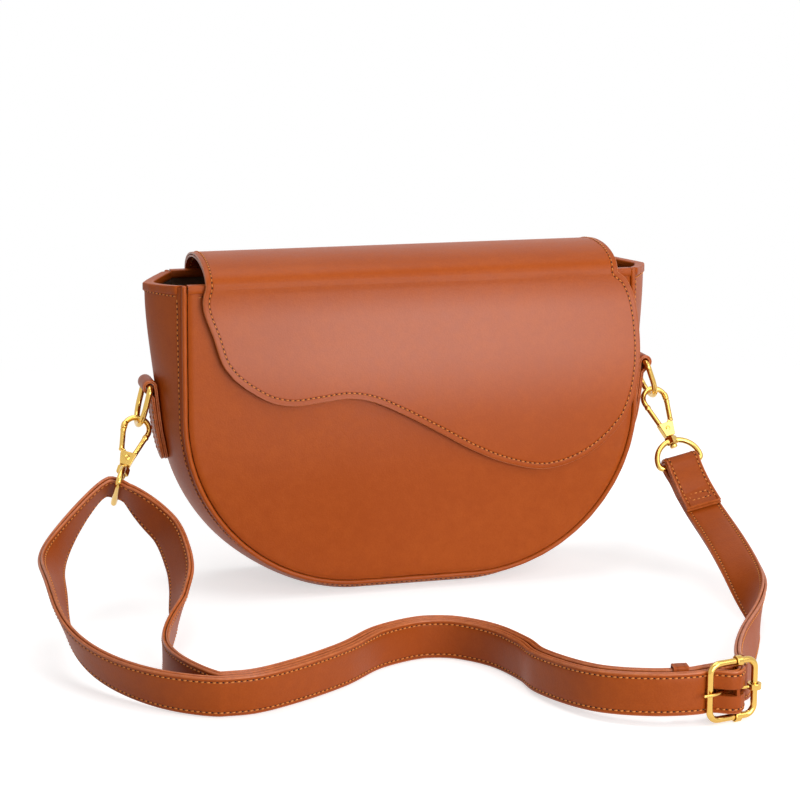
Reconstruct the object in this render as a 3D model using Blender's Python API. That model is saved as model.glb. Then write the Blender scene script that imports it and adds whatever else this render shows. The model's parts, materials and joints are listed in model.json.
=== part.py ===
"""Half-moon shoulder bag: wave-edged flap, ring tabs, swivel snap hooks and an adjustable strap.

The bag stands at the origin with its front toward -Y, and the strap lies on the ground before it.
"""

import math

import bmesh
import bpy
import numpy as np

# Gaps between pieces that touch on the real bag.
GAP = 0.0003
OVERRUN = 0.02

# Body: half-moon panels joined by one gusset strip.
WIDEST_HALF_WIDTH = 0.1345
RIM_DRAW_IN = 0.0015
RIM_HALF_WIDTH = WIDEST_HALF_WIDTH - RIM_DRAW_IN
CORNER_RADIUS = 0.1000
SEAM_HEIGHT = 0.0070
RIM_HEIGHT = 0.1850
RIM_HALF_DEPTH = 0.0310
BASE_HALF_DEPTH = 0.0360
FULL_DEPTH_HEIGHT = 0.0700
PANEL_CROWN = 0.0040
PANEL_THICKNESS = 0.0014
GUSSET_THICKNESS = 0.0014
SIDE_BULGE = 0.0085
RIM_BULGE = 0.0175
PINCH_HEIGHT = 0.0850
BASE_FLAT_HALF_DEPTH = 0.0200
BASE_FLAT_START = 0.55
SIDE_CURVE_POWER = 2.0
RIM_CURVE_POWER = 1.35
GUSSET_RIM_DIP = 0.0020
PIPING_RADIUS = 0.0015
BINDING_THICKNESS = 0.0010
BINDING_DEPTH = 0.0045

# Inside: stiffening boards, lining and the hidden closure.
BOARD_THICKNESS = 0.0012
BOARD_MARGIN = 0.0120
BASE_BOARD_MARGIN = 0.0015
BASE_BOARD_HALF_LENGTH = WIDEST_HALF_WIDTH - CORNER_RADIUS - BASE_BOARD_MARGIN
BASE_BOARD_HALF_DEPTH = 0.0165
LINING_THICKNESS = 0.0006
MAGNET_RADIUS = 0.0070
MAGNET_THICKNESS = 0.0008
MAGNET_SEAT_DEPTH = 0.0004
MAGNET_X = 0.0700
MAGNET_Z = 0.0950

# Flap: two leather layers, outline in shares of the widest half width and of the drop.
FLAP_OUTER_THICKNESS = 0.0014
FLAP_LINING_THICKNESS = 0.0012
FLAP_CLEARANCE = 0.0005
FLAP_RISE = 0.0115
FLAP_DROP = 0.1140
FLAP_SEWN_DEPTH = 0.0300
HINGE_DROP = 0.0010
HINGE_HEIGHT = RIM_HEIGHT - HINGE_DROP
FLAP_LEFT_SHARES = (
    (-0.905, 0.0), (-0.918, 0.06), (-0.915, 0.12), (-0.878, 0.25), (-0.842, 0.385), (-0.800, 0.455),
)
FLAP_RIGHT_SHARES = (
    (0.905, 0.0), (0.945, 0.04), (0.982, 0.132), (1.006, 0.29), (1.009, 0.48), (0.985, 0.64), (0.945, 0.755),
)
FLAP_WAVE_SHARES = (
    (-0.800, 0.455), (-0.742, 0.512), (-0.640, 0.582), (-0.545, 0.604), (-0.425, 0.592),
    (-0.305, 0.580), (-0.205, 0.602), (-0.065, 0.678), (0.085, 0.776), (0.240, 0.880),
    (0.375, 0.950), (0.540, 0.998), (0.655, 0.985), (0.775, 0.930), (0.870, 0.850), (0.945, 0.755),
)

# Ring tabs on the gusset.
TAB_WIDTH = 0.0200
TAB_THICKNESS = 0.0019
TAB_TOP = 0.1235
TAB_TIP = 0.0800
TAB_TIP_LENGTH = 0.0130
TAB_TIP_WIDTH_SHARE = 0.35
TAB_CURL = math.radians(230)

# Wire of the rings, hooks and buckle. Angles are for the left side, -1, and the right side, 1.
RING_WIRE_RADIUS = 0.0017
TAB_RING_HALF_WIDTH = 0.0124
TAB_RING_HEIGHT = 0.0238
TAB_RING_SWING = {-1: math.radians(15), 1: math.radians(20)}

# Swivel snap hook, measured down its own axis from the crook.
HOOK_WIRE_RADIUS = 0.0016
HOOK_TILT = {-1: math.radians(22), 1: math.radians(12)}
HOOK_LEAN = {-1: math.radians(38), 1: math.radians(33)}
CROOK_RADIUS = 0.0073
CROOK_OVERSWING = math.radians(20)
GATE_TOP = 0.0098
HOOK_WAIST = 0.0235
HOOK_SHOULDER_HALF_WIDTH = 0.0048
HOOK_FOOT_HALF_WIDTH = 0.0030
HOOK_HEEL = 0.0320
HOOK_BLOCK_HALF_THICKNESS = 0.0022
GATE_SLOT_HALF_WIDTH = 0.0011
GATE_PIVOT_DEPTH = 0.0272
GATE_PIVOT_RADIUS = 0.0008
GATE_TANG_RADIUS = 0.0020
GATE_END_GAP = 0.0009
TANG_ARC_START = math.radians(-40)
TANG_ARC = math.radians(240)
SWIVEL_BOSS_RADIUS = 0.0030
SWIVEL_BOSS_LENGTH = 0.0054
SWIVEL_POST_RADIUS = 0.0013
SWIVEL_HEAD_RADIUS = 0.0023
SWIVEL_HEAD_LENGTH = 0.0018
STRAP_RING_HALF_WIDTH = 0.0142
STRAP_RING_HEIGHT = 0.0155

# Strap: one long double-layer band.
STRAP_WIDTH = 0.0220
STRAP_THICKNESS = 0.0036
STRAP_TURN_LENGTH = 0.0340
STRAP_FOLD_EASE = 0.0120
STRAP_STEP = 0.0095
STRAP_LAYER_GAP = 0.0006
STRAP_REACH = 0.2800
RIGHT_HANGING_SHARES = (
    (0.630, -0.135, 0.146, 0.96, 0.00, 0.25),
    (0.620, -0.304, 0.110, 0.95, -0.16, 0.26),
    (0.607, -0.429, 0.079, 0.85, -0.35, 0.38),
    (0.591, -0.518, 0.061, 0.50, -0.60, 0.60),
    (0.568, -0.613, 0.046, -0.20, -0.60, 0.76),
    (0.476, -0.766, 0.043, -0.45, -0.40, 0.80),
    (0.390, -0.938, 0.050, -0.40, -0.25, 0.88),
)
RIGHT_BRANCH_SHARES = (
    (-0.599, -0.706, 0.051, 0.00, -0.15, 0.99),
    (-0.606, -0.595, 0.048, -0.02, -0.05, 1.00),
    (-0.592, -0.539, 0.045, -0.05, -0.05, 1.00),
    (-0.584, -0.484, 0.048, 0.06, -0.10, 0.99),
    (-0.548, -0.408, 0.070, 0.20, -0.25, 0.95),
    (-0.538, -0.366, 0.088, 0.35, -0.45, 0.82),
    (-0.524, -0.309, 0.113, 0.43, -0.60, 0.68),
    (-0.521, -0.251, 0.140, 0.44, -0.66, 0.62),
    (-0.534, -0.168, 0.178, 0.43, -0.61, 0.66),
    (-0.578, -0.119, 0.221, 0.35, -0.59, 0.72),
)
LEFT_BRANCH_SHARES = (
    (-0.724, -0.149, 0.186, -0.40, -0.75, 0.52),
    (-0.761, -0.212, 0.150, -0.49, -0.74, 0.47),
    (-0.780, -0.293, 0.139, -0.52, -0.70, 0.50),
    (-0.774, -0.364, 0.137, -0.48, -0.62, 0.62),
    (-0.779, -0.429, 0.126, -0.41, -0.47, 0.78),
    (-0.781, -0.490, 0.101, -0.33, -0.30, 0.89),
    (-0.761, -0.570, 0.069, -0.31, -0.15, 0.94),
    (-0.719, -0.645, 0.052, -0.32, -0.12, 0.94),
    (-0.669, -0.711, 0.045, -0.23, -0.18, 0.96),
    (-0.613, -0.775, 0.042, -0.12, -0.19, 0.97),
)
MIDDLE_RUN_SHARES = (
    (-0.535, -0.788, 12), (-0.480, -0.788, 11), (-0.405, -0.757, 10), (-0.293, -0.686, 7),
    (-0.203, -0.604, 5), (-0.119, -0.568, 5), (-0.088, -0.568, 5), (-0.044, -0.584, 5), (0.014, -0.651, 5),
    (0.042, -0.750, 4), (0.048, -0.833, 4), (0.106, -0.966, 3), (0.188, -1.024, 1),
)

# Buckle, in its own frame: along the strap, then out toward the viewer.
BUCKLE_WIRE_RADIUS = 0.0017
BUCKLE_HALF_LENGTH = 0.0130
BUCKLE_HALF_HEIGHT = 0.0142
BUCKLE_CORNER_RADIUS = 0.0050
BUCKLE_TURN = math.radians(12)
BUCKLE_PLACE_SHARES = (0.324, -1.050)
BUCKLE_RISE_LENGTH = 0.1500
BUCKLE_ENTRY_LENGTH = 0.0043
BUCKLE_BAR_RADIUS = 0.0009
BUCKLE_BAR_PLACE = 0.0030
BUCKLE_TAIL_LENGTH = 0.0080
WRAP_START = math.radians(60)
WRAP_SWEEP = math.radians(150)
BUCKLE_FOLD_SHARES = ((-0.80, -0.255), (-0.50, -0.03), (-0.25, 0.21), (0.05, 0.285))
BAR_EYE_THICKNESS = 0.0008
BAR_EYE_LENGTH = 0.0032
PRONG_RADIUS = 0.0008
PRONG_EYE_LENGTH = 0.0030
PRONG_SHAFT_SHARES = ((0.83, 0.0), (0.40, 0.0), (0.0, 0.0), (-0.25, 0.01))
PRONG_TIP_SHARES = ((-0.84, 1.0), (-1.0, 1.08), (-1.36, 1.0))
PRONG_SLOT_MARGIN = 0.0009

# Keeper round the rear layer, between the two layers at its front.
KEEPER_LENGTH = 0.0080
KEEPER_THICKNESS = 0.0009
KEEPER_CLEARANCE = 0.0008
KEEPER_SETBACK = 0.0098

# Counts and limits that shape the meshes.
SIDES = 8
WIRE_SIDES = 6
GUSSET_COLUMNS = 8
SHARP_ANGLE = math.radians(35)
MITRE_LIMIT = 0.85
NEARLY_PARALLEL = 0.1
OUTLINE_STEP = 0.0006


def clear_scene():
    for obj in list(bpy.data.objects):
        bpy.data.objects.remove(obj, do_unlink=True)


def material(name, colour, roughness, metallic=0.0):
    look = bpy.data.materials.new(name)
    look.use_nodes = True
    shader = look.node_tree.nodes["Principled BSDF"]
    shader.inputs["Base Color"].default_value = (*colour, 1.0)
    shader.inputs["Roughness"].default_value = roughness
    shader.inputs["Metallic"].default_value = metallic
    return look


def mesh_object(name, points, faces, look, origin=(0.0, 0.0, 0.0), parent=None):
    """A closed mesh whose origin is at the given place, with its faces turned outward."""
    origin = np.array(origin, float)
    mesh = bpy.data.meshes.new(name)
    mesh.from_pydata([tuple(np.array(p, float) - origin) for p in points], [], faces)
    work = bmesh.new()
    work.from_mesh(mesh)
    bmesh.ops.recalc_face_normals(work, faces=work.faces)
    work.to_mesh(mesh)
    work.free()
    mesh.shade_smooth()
    mesh.set_sharp_from_angle(angle=SHARP_ANGLE)
    obj = bpy.data.objects.new(name, mesh)
    obj.location = origin
    bpy.context.scene.collection.objects.link(obj)
    mesh.materials.append(look)
    if parent is not None:
        obj.parent = parent
        obj.location = origin - np.array(parent.location)
    return obj


def loft(name, sections, look, closed=False, origin=(0.0, 0.0, 0.0)):
    """Skins a row of like sections, with flat caps unless the row closes on itself."""
    count = len(sections[0])
    points = [p for section in sections for p in section]
    faces = []
    rows = len(sections)
    for i in range(rows if closed else rows - 1):
        a, b = i * count, (i + 1) % rows * count
        for k in range(count):
            m = (k + 1) % count
            faces.append((a + k, a + m, b + m, b + k))
    if not closed:
        faces.append(tuple(range(count)))
        faces.append(tuple((rows - 1) * count + k for k in range(count)))
    return mesh_object(name, points, faces, look, origin)


def sheet(name, outer, inner, look, origin=(0.0, 0.0, 0.0)):
    """A closed sheet between two point grids of the same rows and columns."""
    rows, cols = len(outer), len(outer[0])
    points = [p for row in outer for p in row] + [p for row in inner for p in row]
    half = rows * cols
    faces = []
    for i in range(rows - 1):
        for k in range(cols - 1):
            a = i * cols + k
            faces.append((a, a + 1, a + cols + 1, a + cols))
            faces.append((half + a, half + a + cols, half + a + cols + 1, half + a + 1))
    border = [k for k in range(cols)]
    border += [i * cols + cols - 1 for i in range(1, rows)]
    border += [(rows - 1) * cols + k for k in range(cols - 2, -1, -1)]
    border += [i * cols for i in range(rows - 2, 0, -1)]
    for a, b in zip(border, border[1:] + border[:1]):
        faces.append((a, half + a, half + b, b))
    return mesh_object(name, points, faces, look, origin)


def unit(v):
    v = np.array(v, float)
    return v / np.linalg.norm(v)


def tangents(points, closed=False):
    """Unit directions along a line, halving each bend."""
    points = np.array(points, float)
    steps = np.diff(np.vstack([points, points[:1]]) if closed else points, axis=0)
    steps = steps / np.linalg.norm(steps, axis=1)[:, None]
    if closed:
        sums = steps + np.roll(steps, 1, axis=0)
    else:
        sums = np.vstack([steps[:1], steps[1:] + steps[:-1], steps[-1:]])
    return sums / np.linalg.norm(sums, axis=1)[:, None]


def tube_sections(points, radius, sides=WIRE_SIDES, closed=False):
    """Round sections along a line, turned as little as the line allows."""
    points = np.array(points, float)
    lines = tangents(points, closed)
    start = np.cross(lines[0], (0.0, 0.0, 1.0))
    if np.linalg.norm(start) < NEARLY_PARALLEL:
        start = np.cross(lines[0], (0.0, 1.0, 0.0))
    across = unit(start)
    frames = []
    for line in lines:
        across = unit(across - line * across.dot(line))
        frames.append((across, np.cross(line, across)))
    slip = 0.0
    if closed:
        last = unit(frames[-1][0] - lines[0] * frames[-1][0].dot(lines[0]))
        slip = math.atan2(last.dot(frames[0][1]), last.dot(frames[0][0]))
    sections = []
    for i, (point, (a, b)) in enumerate(zip(points, frames)):
        turn = -slip * i / len(points)
        angles = [turn + math.tau * k / sides for k in range(sides)]
        sections.append([point + radius * (a * math.cos(t) + b * math.sin(t)) for t in angles])
    return sections


def tube(name, points, radius, look, closed=False, sides=WIRE_SIDES, origin=(0.0, 0.0, 0.0)):
    return loft(name, tube_sections(points, radius, sides, closed), look, closed, origin)


def smooth_line(points, step, closed=False):
    """A curve through the given points, cut into stretches of about the given step."""
    points = [np.array(p, float) for p in points]
    count = len(points)
    line = []
    for i in range(count if closed else count - 1):
        p1, p2 = points[i], points[(i + 1) % count]
        p0 = points[i - 1] if closed or i > 0 else 2 * p1 - p2
        p3 = points[(i + 2) % count] if closed or i + 2 < count else 2 * p2 - p1
        pieces = max(1, round(np.linalg.norm((p2 - p1)[:3]) / step))
        knots = [0.0]
        for a, b in ((p0, p1), (p1, p2), (p2, p3)):
            knots.append(knots[-1] + max(np.linalg.norm((b - a)[:3]), GAP) ** 0.5)
        for k in range(pieces):
            t = knots[1] + (knots[2] - knots[1]) * k / pieces
            a1 = mix(p0, p1, (t - knots[0]) / (knots[1] - knots[0]))
            a2 = mix(p1, p2, (t - knots[1]) / (knots[2] - knots[1]))
            a3 = mix(p2, p3, (t - knots[2]) / (knots[3] - knots[2]))
            b1 = mix(a1, a2, (t - knots[0]) / (knots[2] - knots[0]))
            b2 = mix(a2, a3, (t - knots[1]) / (knots[3] - knots[1]))
            line.append(mix(b1, b2, (t - knots[1]) / (knots[2] - knots[1])))
    if not closed:
        line.append(points[-1])
    return line


def mix(a, b, share):
    return a * (1 - share) + b * share


def ease(share):
    share = min(max(share, 0.0), 1.0)
    return share * share * (3 - 2 * share)


def boolean(obj, cutter, operation):
    """Applies a Boolean with a helper mesh and removes the helper."""
    modifier = obj.modifiers.new(operation.lower(), "BOOLEAN")
    modifier.operation = operation
    modifier.solver = "EXACT"
    modifier.object = cutter
    graph = bpy.context.evaluated_depsgraph_get()
    mesh = bpy.data.meshes.new_from_object(obj.evaluated_get(graph))
    obj.modifiers.remove(modifier)
    look = obj.data.materials[0]
    obj.data = mesh
    mesh.materials.clear()
    mesh.materials.append(look)
    mesh.shade_smooth()
    mesh.set_sharp_from_angle(angle=SHARP_ANGLE)
    bpy.data.objects.remove(cutter, do_unlink=True)


def rod(name, start, end, radius, look, sides=SIDES * 2, origin=(0.0, 0.0, 0.0)):
    return loft(name, tube_sections([start, end], radius, sides), look, origin=origin)


def block(name, centre, axes, halves, look):
    """A box with its own axes and half sizes."""
    sections = []
    for along in (-1, 1):
        section = []
        for a, b in ((-1, -1), (1, -1), (1, 1), (-1, 1)):
            corner = a * halves[0] * axes[0] + b * halves[1] * axes[1]
            section.append(centre + along * halves[2] * axes[2] + corner)
        sections.append(section)
    return loft(name, sections, look)


# Form of the body.


def half_width(z, inset=0.0):
    """Half width of the panel outline at a height, drawn in from the seam line."""
    arc_top = SEAM_HEIGHT + CORNER_RADIUS
    if z >= arc_top:
        share = (z - arc_top) / (RIM_HEIGHT - arc_top)
        return mix(WIDEST_HALF_WIDTH, RIM_HALF_WIDTH, share) - inset
    radius = CORNER_RADIUS - inset
    drop = min(arc_top - z, radius)
    return WIDEST_HALF_WIDTH - CORNER_RADIUS + math.sqrt(radius * radius - drop * drop)


def straight_height():
    """Height above which the walls stand straight, under the rim binding."""
    return RIM_HEIGHT - BINDING_THICKNESS - BINDING_DEPTH


def half_depth(z):
    share = ease((straight_height() - z) / (straight_height() - FULL_DEPTH_HEIGHT))
    return mix(RIM_HALF_DEPTH, BASE_HALF_DEPTH, share)


def crown(x, z):
    """How far the filled panel stands out from its seam plane."""
    height = min(max((z - SEAM_HEIGHT) / (straight_height() - SEAM_HEIGHT), 0.0), 1.0)
    across = min(abs(x) / half_width(max(z, SEAM_HEIGHT)), 1.0)
    return PANEL_CROWN * 4 * height * (1 - height) * (1 - across * across)


def panel_levels(bottom, top, corner_steps, side_steps, inset):
    """Heights of the rows of a panel: even turns round the corner, then even rises."""
    radius = CORNER_RADIUS - inset
    arc_top = SEAM_HEIGHT + CORNER_RADIUS
    levels = [arc_top - radius * math.cos(math.pi / 2 * k / corner_steps) for k in range(corner_steps)]
    levels = [z for z in levels if z > bottom + GAP]
    levels += [mix(arc_top, straight_height(), k / side_steps) for k in range(side_steps + 1)]
    return [bottom] + [z for z in levels if z < top - GAP] + [top]


def panel_grid(side, depth_inset, inset, top, corner_steps=8, side_steps=4, cols=12):
    """Points of a panel surface. Side is -1 at the front and 1 at the back."""
    grid = []
    for z in panel_levels(SEAM_HEIGHT + inset, top, corner_steps, side_steps, inset):
        reach = half_width(z, inset)
        row = []
        for k in range(cols + 1):
            x = reach * (2 * k / cols - 1)
            row.append((x, side * (half_depth(z) + crown(x, z) - depth_inset), z))
        grid.append(row)
    return grid


def panel_sheet(name, side, depth_inset, thickness, inset, top, look, **steps):
    outer = panel_grid(side, depth_inset, inset, top, **steps)
    inner = panel_grid(side, depth_inset + thickness, inset, top, **steps)
    return sheet(name, outer, inner, look)


def seam_stations(top, side_steps=5, corner_steps=8, base_steps=3):
    """Stations along the seam from the left rim round to the right rim: place, outward normal, turn."""
    arc_top = SEAM_HEIGHT + CORNER_RADIUS
    flat = WIDEST_HALF_WIDTH - CORNER_RADIUS
    right = []
    for z in [top] + [mix(straight_height(), arc_top, k / side_steps) for k in range(side_steps)]:
        if z <= top:
            right.append((half_width(z), z, 1.0, 0.0, 0.0))
    for k in range(corner_steps + 1):
        turn = math.pi / 2 * k / corner_steps
        c, s = math.cos(turn), math.sin(turn)
        right.append((flat + CORNER_RADIUS * c, arc_top - CORNER_RADIUS * s, c, -s, k / corner_steps))
    base = [(flat * (1 - 2 * k / base_steps), SEAM_HEIGHT, 0.0, -1.0, 1.0) for k in range(1, base_steps)]
    left = [(-x, z, -nx, nz, turn) for x, z, nx, nz, turn in right]
    return left + base[::-1] + right[::-1]


def bulge(z, turn, depth_share):
    """How far the gusset stands out from the seam line, by height and by place across its width."""
    pinch = ease((z - PINCH_HEIGHT) / (straight_height() - PINCH_HEIGHT))
    height = mix(mix(SIDE_BULGE, RIM_BULGE, pinch), SEAM_HEIGHT, ease(turn))
    flat = BASE_FLAT_HALF_DEPTH / half_depth(z) * ease((turn - BASE_FLAT_START) / (1 - BASE_FLAT_START))
    power = mix(SIDE_CURVE_POWER, RIM_CURVE_POWER, pinch)
    away = max(abs(depth_share) - flat, 0.0) / (1 - flat)
    return height * (1 - away**power)


def gusset_grid(inward, edge, top, cols=GUSSET_COLUMNS, **steps):
    grid = []
    for x, z, nx, nz, turn in seam_stations(top, **steps):
        depth = half_depth(z)
        row = []
        for k in range(cols + 1):
            share = 2 * k / cols - 1
            y = share * (depth - edge)
            out = bulge(z, turn, y / depth) - inward
            dip = GUSSET_RIM_DIP * (1 - (y / depth) ** 2) if z >= top else 0.0
            row.append((x + nx * out, y, z + nz * out - dip))
        grid.append(row)
    return grid


def gusset_sheet(name, inward, thickness, edge, top, look, **steps):
    outer = gusset_grid(inward, edge, top, **steps)
    inner = gusset_grid(inward + thickness, edge, top, **steps)
    return sheet(name, outer, inner, look)


def make_shell(leather, edge, board, cloth):
    """Panels, gusset, piping, boards and lining."""
    seam_edge = PIPING_RADIUS + GAP
    top = RIM_HEIGHT - BINDING_THICKNESS - GAP
    board_place = GAP
    lining_place = board_place + BOARD_THICKNESS + GAP
    gusset_lining = GUSSET_THICKNESS + GAP + BOARD_THICKNESS + GAP
    for name, side in (("front", -1), ("back", 1)):
        panel_sheet(name + "_panel", side, -PANEL_THICKNESS, PANEL_THICKNESS, seam_edge, top, leather)
        line = []
        for x, z, _, _, _ in seam_stations(top - BINDING_DEPTH, 4, 10, 3):
            line.append((x, side * half_depth(z), z))
        tube(name + "_piping", line, PIPING_RADIUS, edge, sides=WIRE_SIDES)
        panel_sheet(
            name + "_stiffener", side, board_place, BOARD_THICKNESS,
            BOARD_MARGIN, top - BOARD_MARGIN, board, corner_steps=5, side_steps=4, cols=8,
        )
        panel_sheet(
            "lining_" + name, side, lining_place, LINING_THICKNESS,
            GUSSET_THICKNESS + 2 * GAP, top, cloth, corner_steps=6, side_steps=4, cols=8,
        )
    gusset_sheet("gusset", 0.0, GUSSET_THICKNESS, seam_edge, top, leather)
    lining_edge = lining_place + LINING_THICKNESS + GAP
    gusset_sheet(
        "lining_gusset", gusset_lining, LINING_THICKNESS, lining_edge, top, cloth,
        side_steps=3, corner_steps=6,
    )
    floor = GUSSET_THICKNESS + GAP + BOARD_THICKNESS / 2
    halves = (BASE_BOARD_HALF_LENGTH, BASE_BOARD_HALF_DEPTH, BOARD_THICKNESS / 2)
    block("base_board", np.array((0.0, 0.0, floor)), np.eye(3), halves, board)


def surface_frame(point_at, x, z):
    """Centre and outward normal of a front surface given as a function of x and z."""
    here = np.array(point_at(x, z))
    right = np.array(point_at(x + MAGNET_RADIUS, z)) - np.array(point_at(x - MAGNET_RADIUS, z))
    up = np.array(point_at(x, z + MAGNET_RADIUS)) - np.array(point_at(x, z - MAGNET_RADIUS))
    return here, unit(np.cross(right, up))


def make_magnets(steel):
    """A hidden pair of discs: one in a hole of the front board, one between the flap layers."""
    def board_point(x, z):
        return x, -(half_depth(z) + crown(x, z) - GAP - BOARD_THICKNESS / 2), z

    centre, out = surface_frame(board_point, MAGNET_X, MAGNET_Z)
    reach = BOARD_THICKNESS * 2
    hole = rod("cutter", centre - out * reach, centre + out * reach, MAGNET_RADIUS + GAP, steel)
    boolean(bpy.data.objects["front_stiffener"], hole, "DIFFERENCE")
    half = out * MAGNET_THICKNESS / 2
    rod("panel_magnet", centre - half, centre + half, MAGNET_RADIUS, steel)

    def layer_point(x, z):
        return flap_point(x, HINGE_HEIGHT - z, FLAP_LINING_THICKNESS + GAP / 2)

    centre, out = surface_frame(layer_point, MAGNET_X, MAGNET_Z)
    seat = out * (GAP / 2 + MAGNET_SEAT_DEPTH)
    for name in ("flap_outer", "flap_lining"):
        pocket = rod("cutter", centre - seat, centre + seat, MAGNET_RADIUS + GAP, steel)
        boolean(bpy.data.objects[name], pocket, "DIFFERENCE")
    rod("flap_magnet", centre - half, centre + half, MAGNET_RADIUS, steel, origin=hinge_place())


# Rim binding: a folded strip over the raw edges of each side of the mouth.


def binding_section(outer, inner, drop):
    """Points of a U-shaped strip as (outward, up), from the outer foot over the top to the inner foot."""
    t = BINDING_THICKNESS
    lip = outer + t - t / 3
    return [
        (outer, -drop), (outer + t, -drop), (outer + t, -t), (lip, 0.0),
        (inner - t + t / 3, 0.0), (inner - t, -t), (inner - t, -drop), (inner, -drop),
        (inner, -t - GAP / 2), (outer, -t - GAP / 2),
    ]


def make_binding(name, line, outer, inner, look):
    """Sweeps the U strip along a plan line, whose points are (x, y, height, outward x, outward y)."""
    profile = binding_section(outer, inner, BINDING_DEPTH)
    sections = []
    for x, y, z, ox, oy in line:
        sections.append([(x + ox * out, y + oy * out, z + up) for out, up in profile])
    return loft(name, sections, look)


def make_bindings(look):
    stack = GAP + BOARD_THICKNESS + GAP + LINING_THICKNESS + GAP
    seam_edge = PIPING_RADIUS + GAP
    side_stack = GUSSET_THICKNESS + GAP + BOARD_THICKNESS + GAP + LINING_THICKNESS + GAP
    reach = half_width(RIM_HEIGHT, seam_edge)
    for name, side in (("front", -1), ("back", 1)):
        y = side * RIM_HALF_DEPTH
        line = [(x, y, RIM_HEIGHT, 0.0, side) for x in (-reach, 0.0, reach)]
        make_binding("rim_binding_" + name, line, PANEL_THICKNESS + GAP, -stack, look)
    edge = stack + BINDING_THICKNESS + GAP
    steps = GUSSET_COLUMNS
    for name, side in (("left", -1), ("right", 1)):
        plan = []
        for k in range(steps + 1):
            y = (2 * k / steps - 1) * (RIM_HALF_DEPTH - edge)
            share = y / RIM_HALF_DEPTH
            out = bulge(RIM_HEIGHT, 0.0, share)
            plan.append(((RIM_HALF_WIDTH + out) * side, y, RIM_HEIGHT - GUSSET_RIM_DIP * (1 - share * share)))
        line = [(x, y, z, side, 0.0) for x, y, z in plan]
        make_binding("rim_binding_" + name, line, GAP, -side_stack, look)


# Flap.


def flap_depth(x, z):
    """How far the flap's inner face stands from the middle plane, over the rim binding."""
    z = max(z, SEAM_HEIGHT)
    return half_depth(z) + crown(x, z) + PANEL_THICKNESS + GAP + BINDING_THICKNESS + FLAP_CLEARANCE


def flap_point(x, drop, offset):
    """Point of the flap at a place across it and at a distance down its front, or back over the arch.

    Drop is negative on the arch: minus one FLAP_RISE is its rear end, at the hinge.
    """
    base = flap_depth(x, HINGE_HEIGHT)
    if drop < 0:
        turn = math.pi * (1 + drop / FLAP_RISE)
        c, s = math.cos(turn), math.sin(turn)
        out = unit((0.0, c / base, s / FLAP_RISE))
        return np.array((x, base * c, HINGE_HEIGHT + FLAP_RISE * s)) + out * offset
    z = HINGE_HEIGHT - drop
    return np.array((x, -flap_depth(x, z) - offset, z))


def hinge_place():
    thickness = FLAP_LINING_THICKNESS + GAP + FLAP_OUTER_THICKNESS
    return (0.0, flap_depth(0.0, HINGE_HEIGHT) + thickness, HINGE_HEIGHT)


def shares_line(shares, count):
    """A smooth row of evenly spaced (x, drop) points from a table of shares."""
    points = [np.array((x * WIDEST_HALF_WIDTH, drop * FLAP_DROP)) for x, drop in shares]
    fine = np.array(smooth_line(points, OUTLINE_STEP))
    walked = np.concatenate([[0.0], np.cumsum(np.linalg.norm(np.diff(fine, axis=0), axis=1))])
    wanted = np.linspace(0.0, walked[-1], count + 1)
    return np.stack([np.interp(wanted, walked, fine[:, i]) for i in range(2)], axis=1)


def flap_plan(cols=20, rows=8):
    """Grid of (x, drop) over the front of the flap, fitted between its four edges."""
    left = shares_line(FLAP_LEFT_SHARES, rows)
    right = shares_line(FLAP_RIGHT_SHARES, rows)
    wave = shares_line(FLAP_WAVE_SHARES, cols)
    top = np.linspace(left[0], right[0], cols + 1)
    grid = np.empty((rows + 1, cols + 1, 2))
    for i in range(rows + 1):
        v = i / rows
        for k in range(cols + 1):
            u = k / cols
            corners = mix(mix(top[0], top[-1], u), mix(wave[0], wave[-1], u), v)
            grid[i, k] = mix(left[i], right[i], u) + mix(top[k], wave[k], v) - corners
    return grid


def flap_grid(offset, arch_steps=6):
    plan = flap_plan()
    grid = []
    for k in range(arch_steps):
        drop = -FLAP_RISE * (1 - k / arch_steps)
        grid.append([flap_point(x, drop, offset) for x, _ in plan[0]])
    for row in plan:
        grid.append([flap_point(x, drop, offset) for x, drop in row])
    return grid


def make_flap(leather, inside):
    top = FLAP_LINING_THICKNESS + GAP
    place = hinge_place()
    sheet("flap_lining", flap_grid(FLAP_LINING_THICKNESS), flap_grid(0.0), inside, place)
    sheet("flap_outer", flap_grid(top + FLAP_OUTER_THICKNESS), flap_grid(top), leather, place)
    reach = abs(FLAP_LEFT_SHARES[0][0]) * WIDEST_HALF_WIDTH
    thickness = top + FLAP_OUTER_THICKNESS
    grids = []
    for offset in (thickness, 0.0):
        grid = []
        top = HINGE_HEIGHT - GAP
        foot = straight_height() - GAP
        low = foot - BINDING_DEPTH
        bottom = HINGE_HEIGHT - FLAP_SEWN_DEPTH
        step = BINDING_THICKNESS + FLAP_CLEARANCE
        for z, inward in ((top, 0.0), (foot, 0.0), (low, step), ((low + bottom) / 2, step), (bottom, step)):
            xs = [reach * (2 * m / 12 - 1) for m in range(13)]
            grid.append([(x, flap_depth(x, z) + offset - inward, z) for x in xs])
        grids.append(grid)
    sheet("flap_sewn_end", grids[0], grids[1], leather)


# Tabs and their rings.


def gusset_rows():
    """Heights and half widths of the gusset's middle line, from low to high."""
    rows = []
    for x, level, nx, nz, turn in seam_stations(RIM_HEIGHT)[::-1]:
        out = bulge(level, turn, 0.0)
        if nx > 0:
            rows.append((level + nz * out, x + nx * out))
    return sorted(rows)


def gusset_side(z):
    """Half width of the bag at mid depth, outside the gusset."""
    rows = gusset_rows()
    return float(np.interp(z, [row[0] for row in rows], [row[1] for row in rows]))


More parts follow.
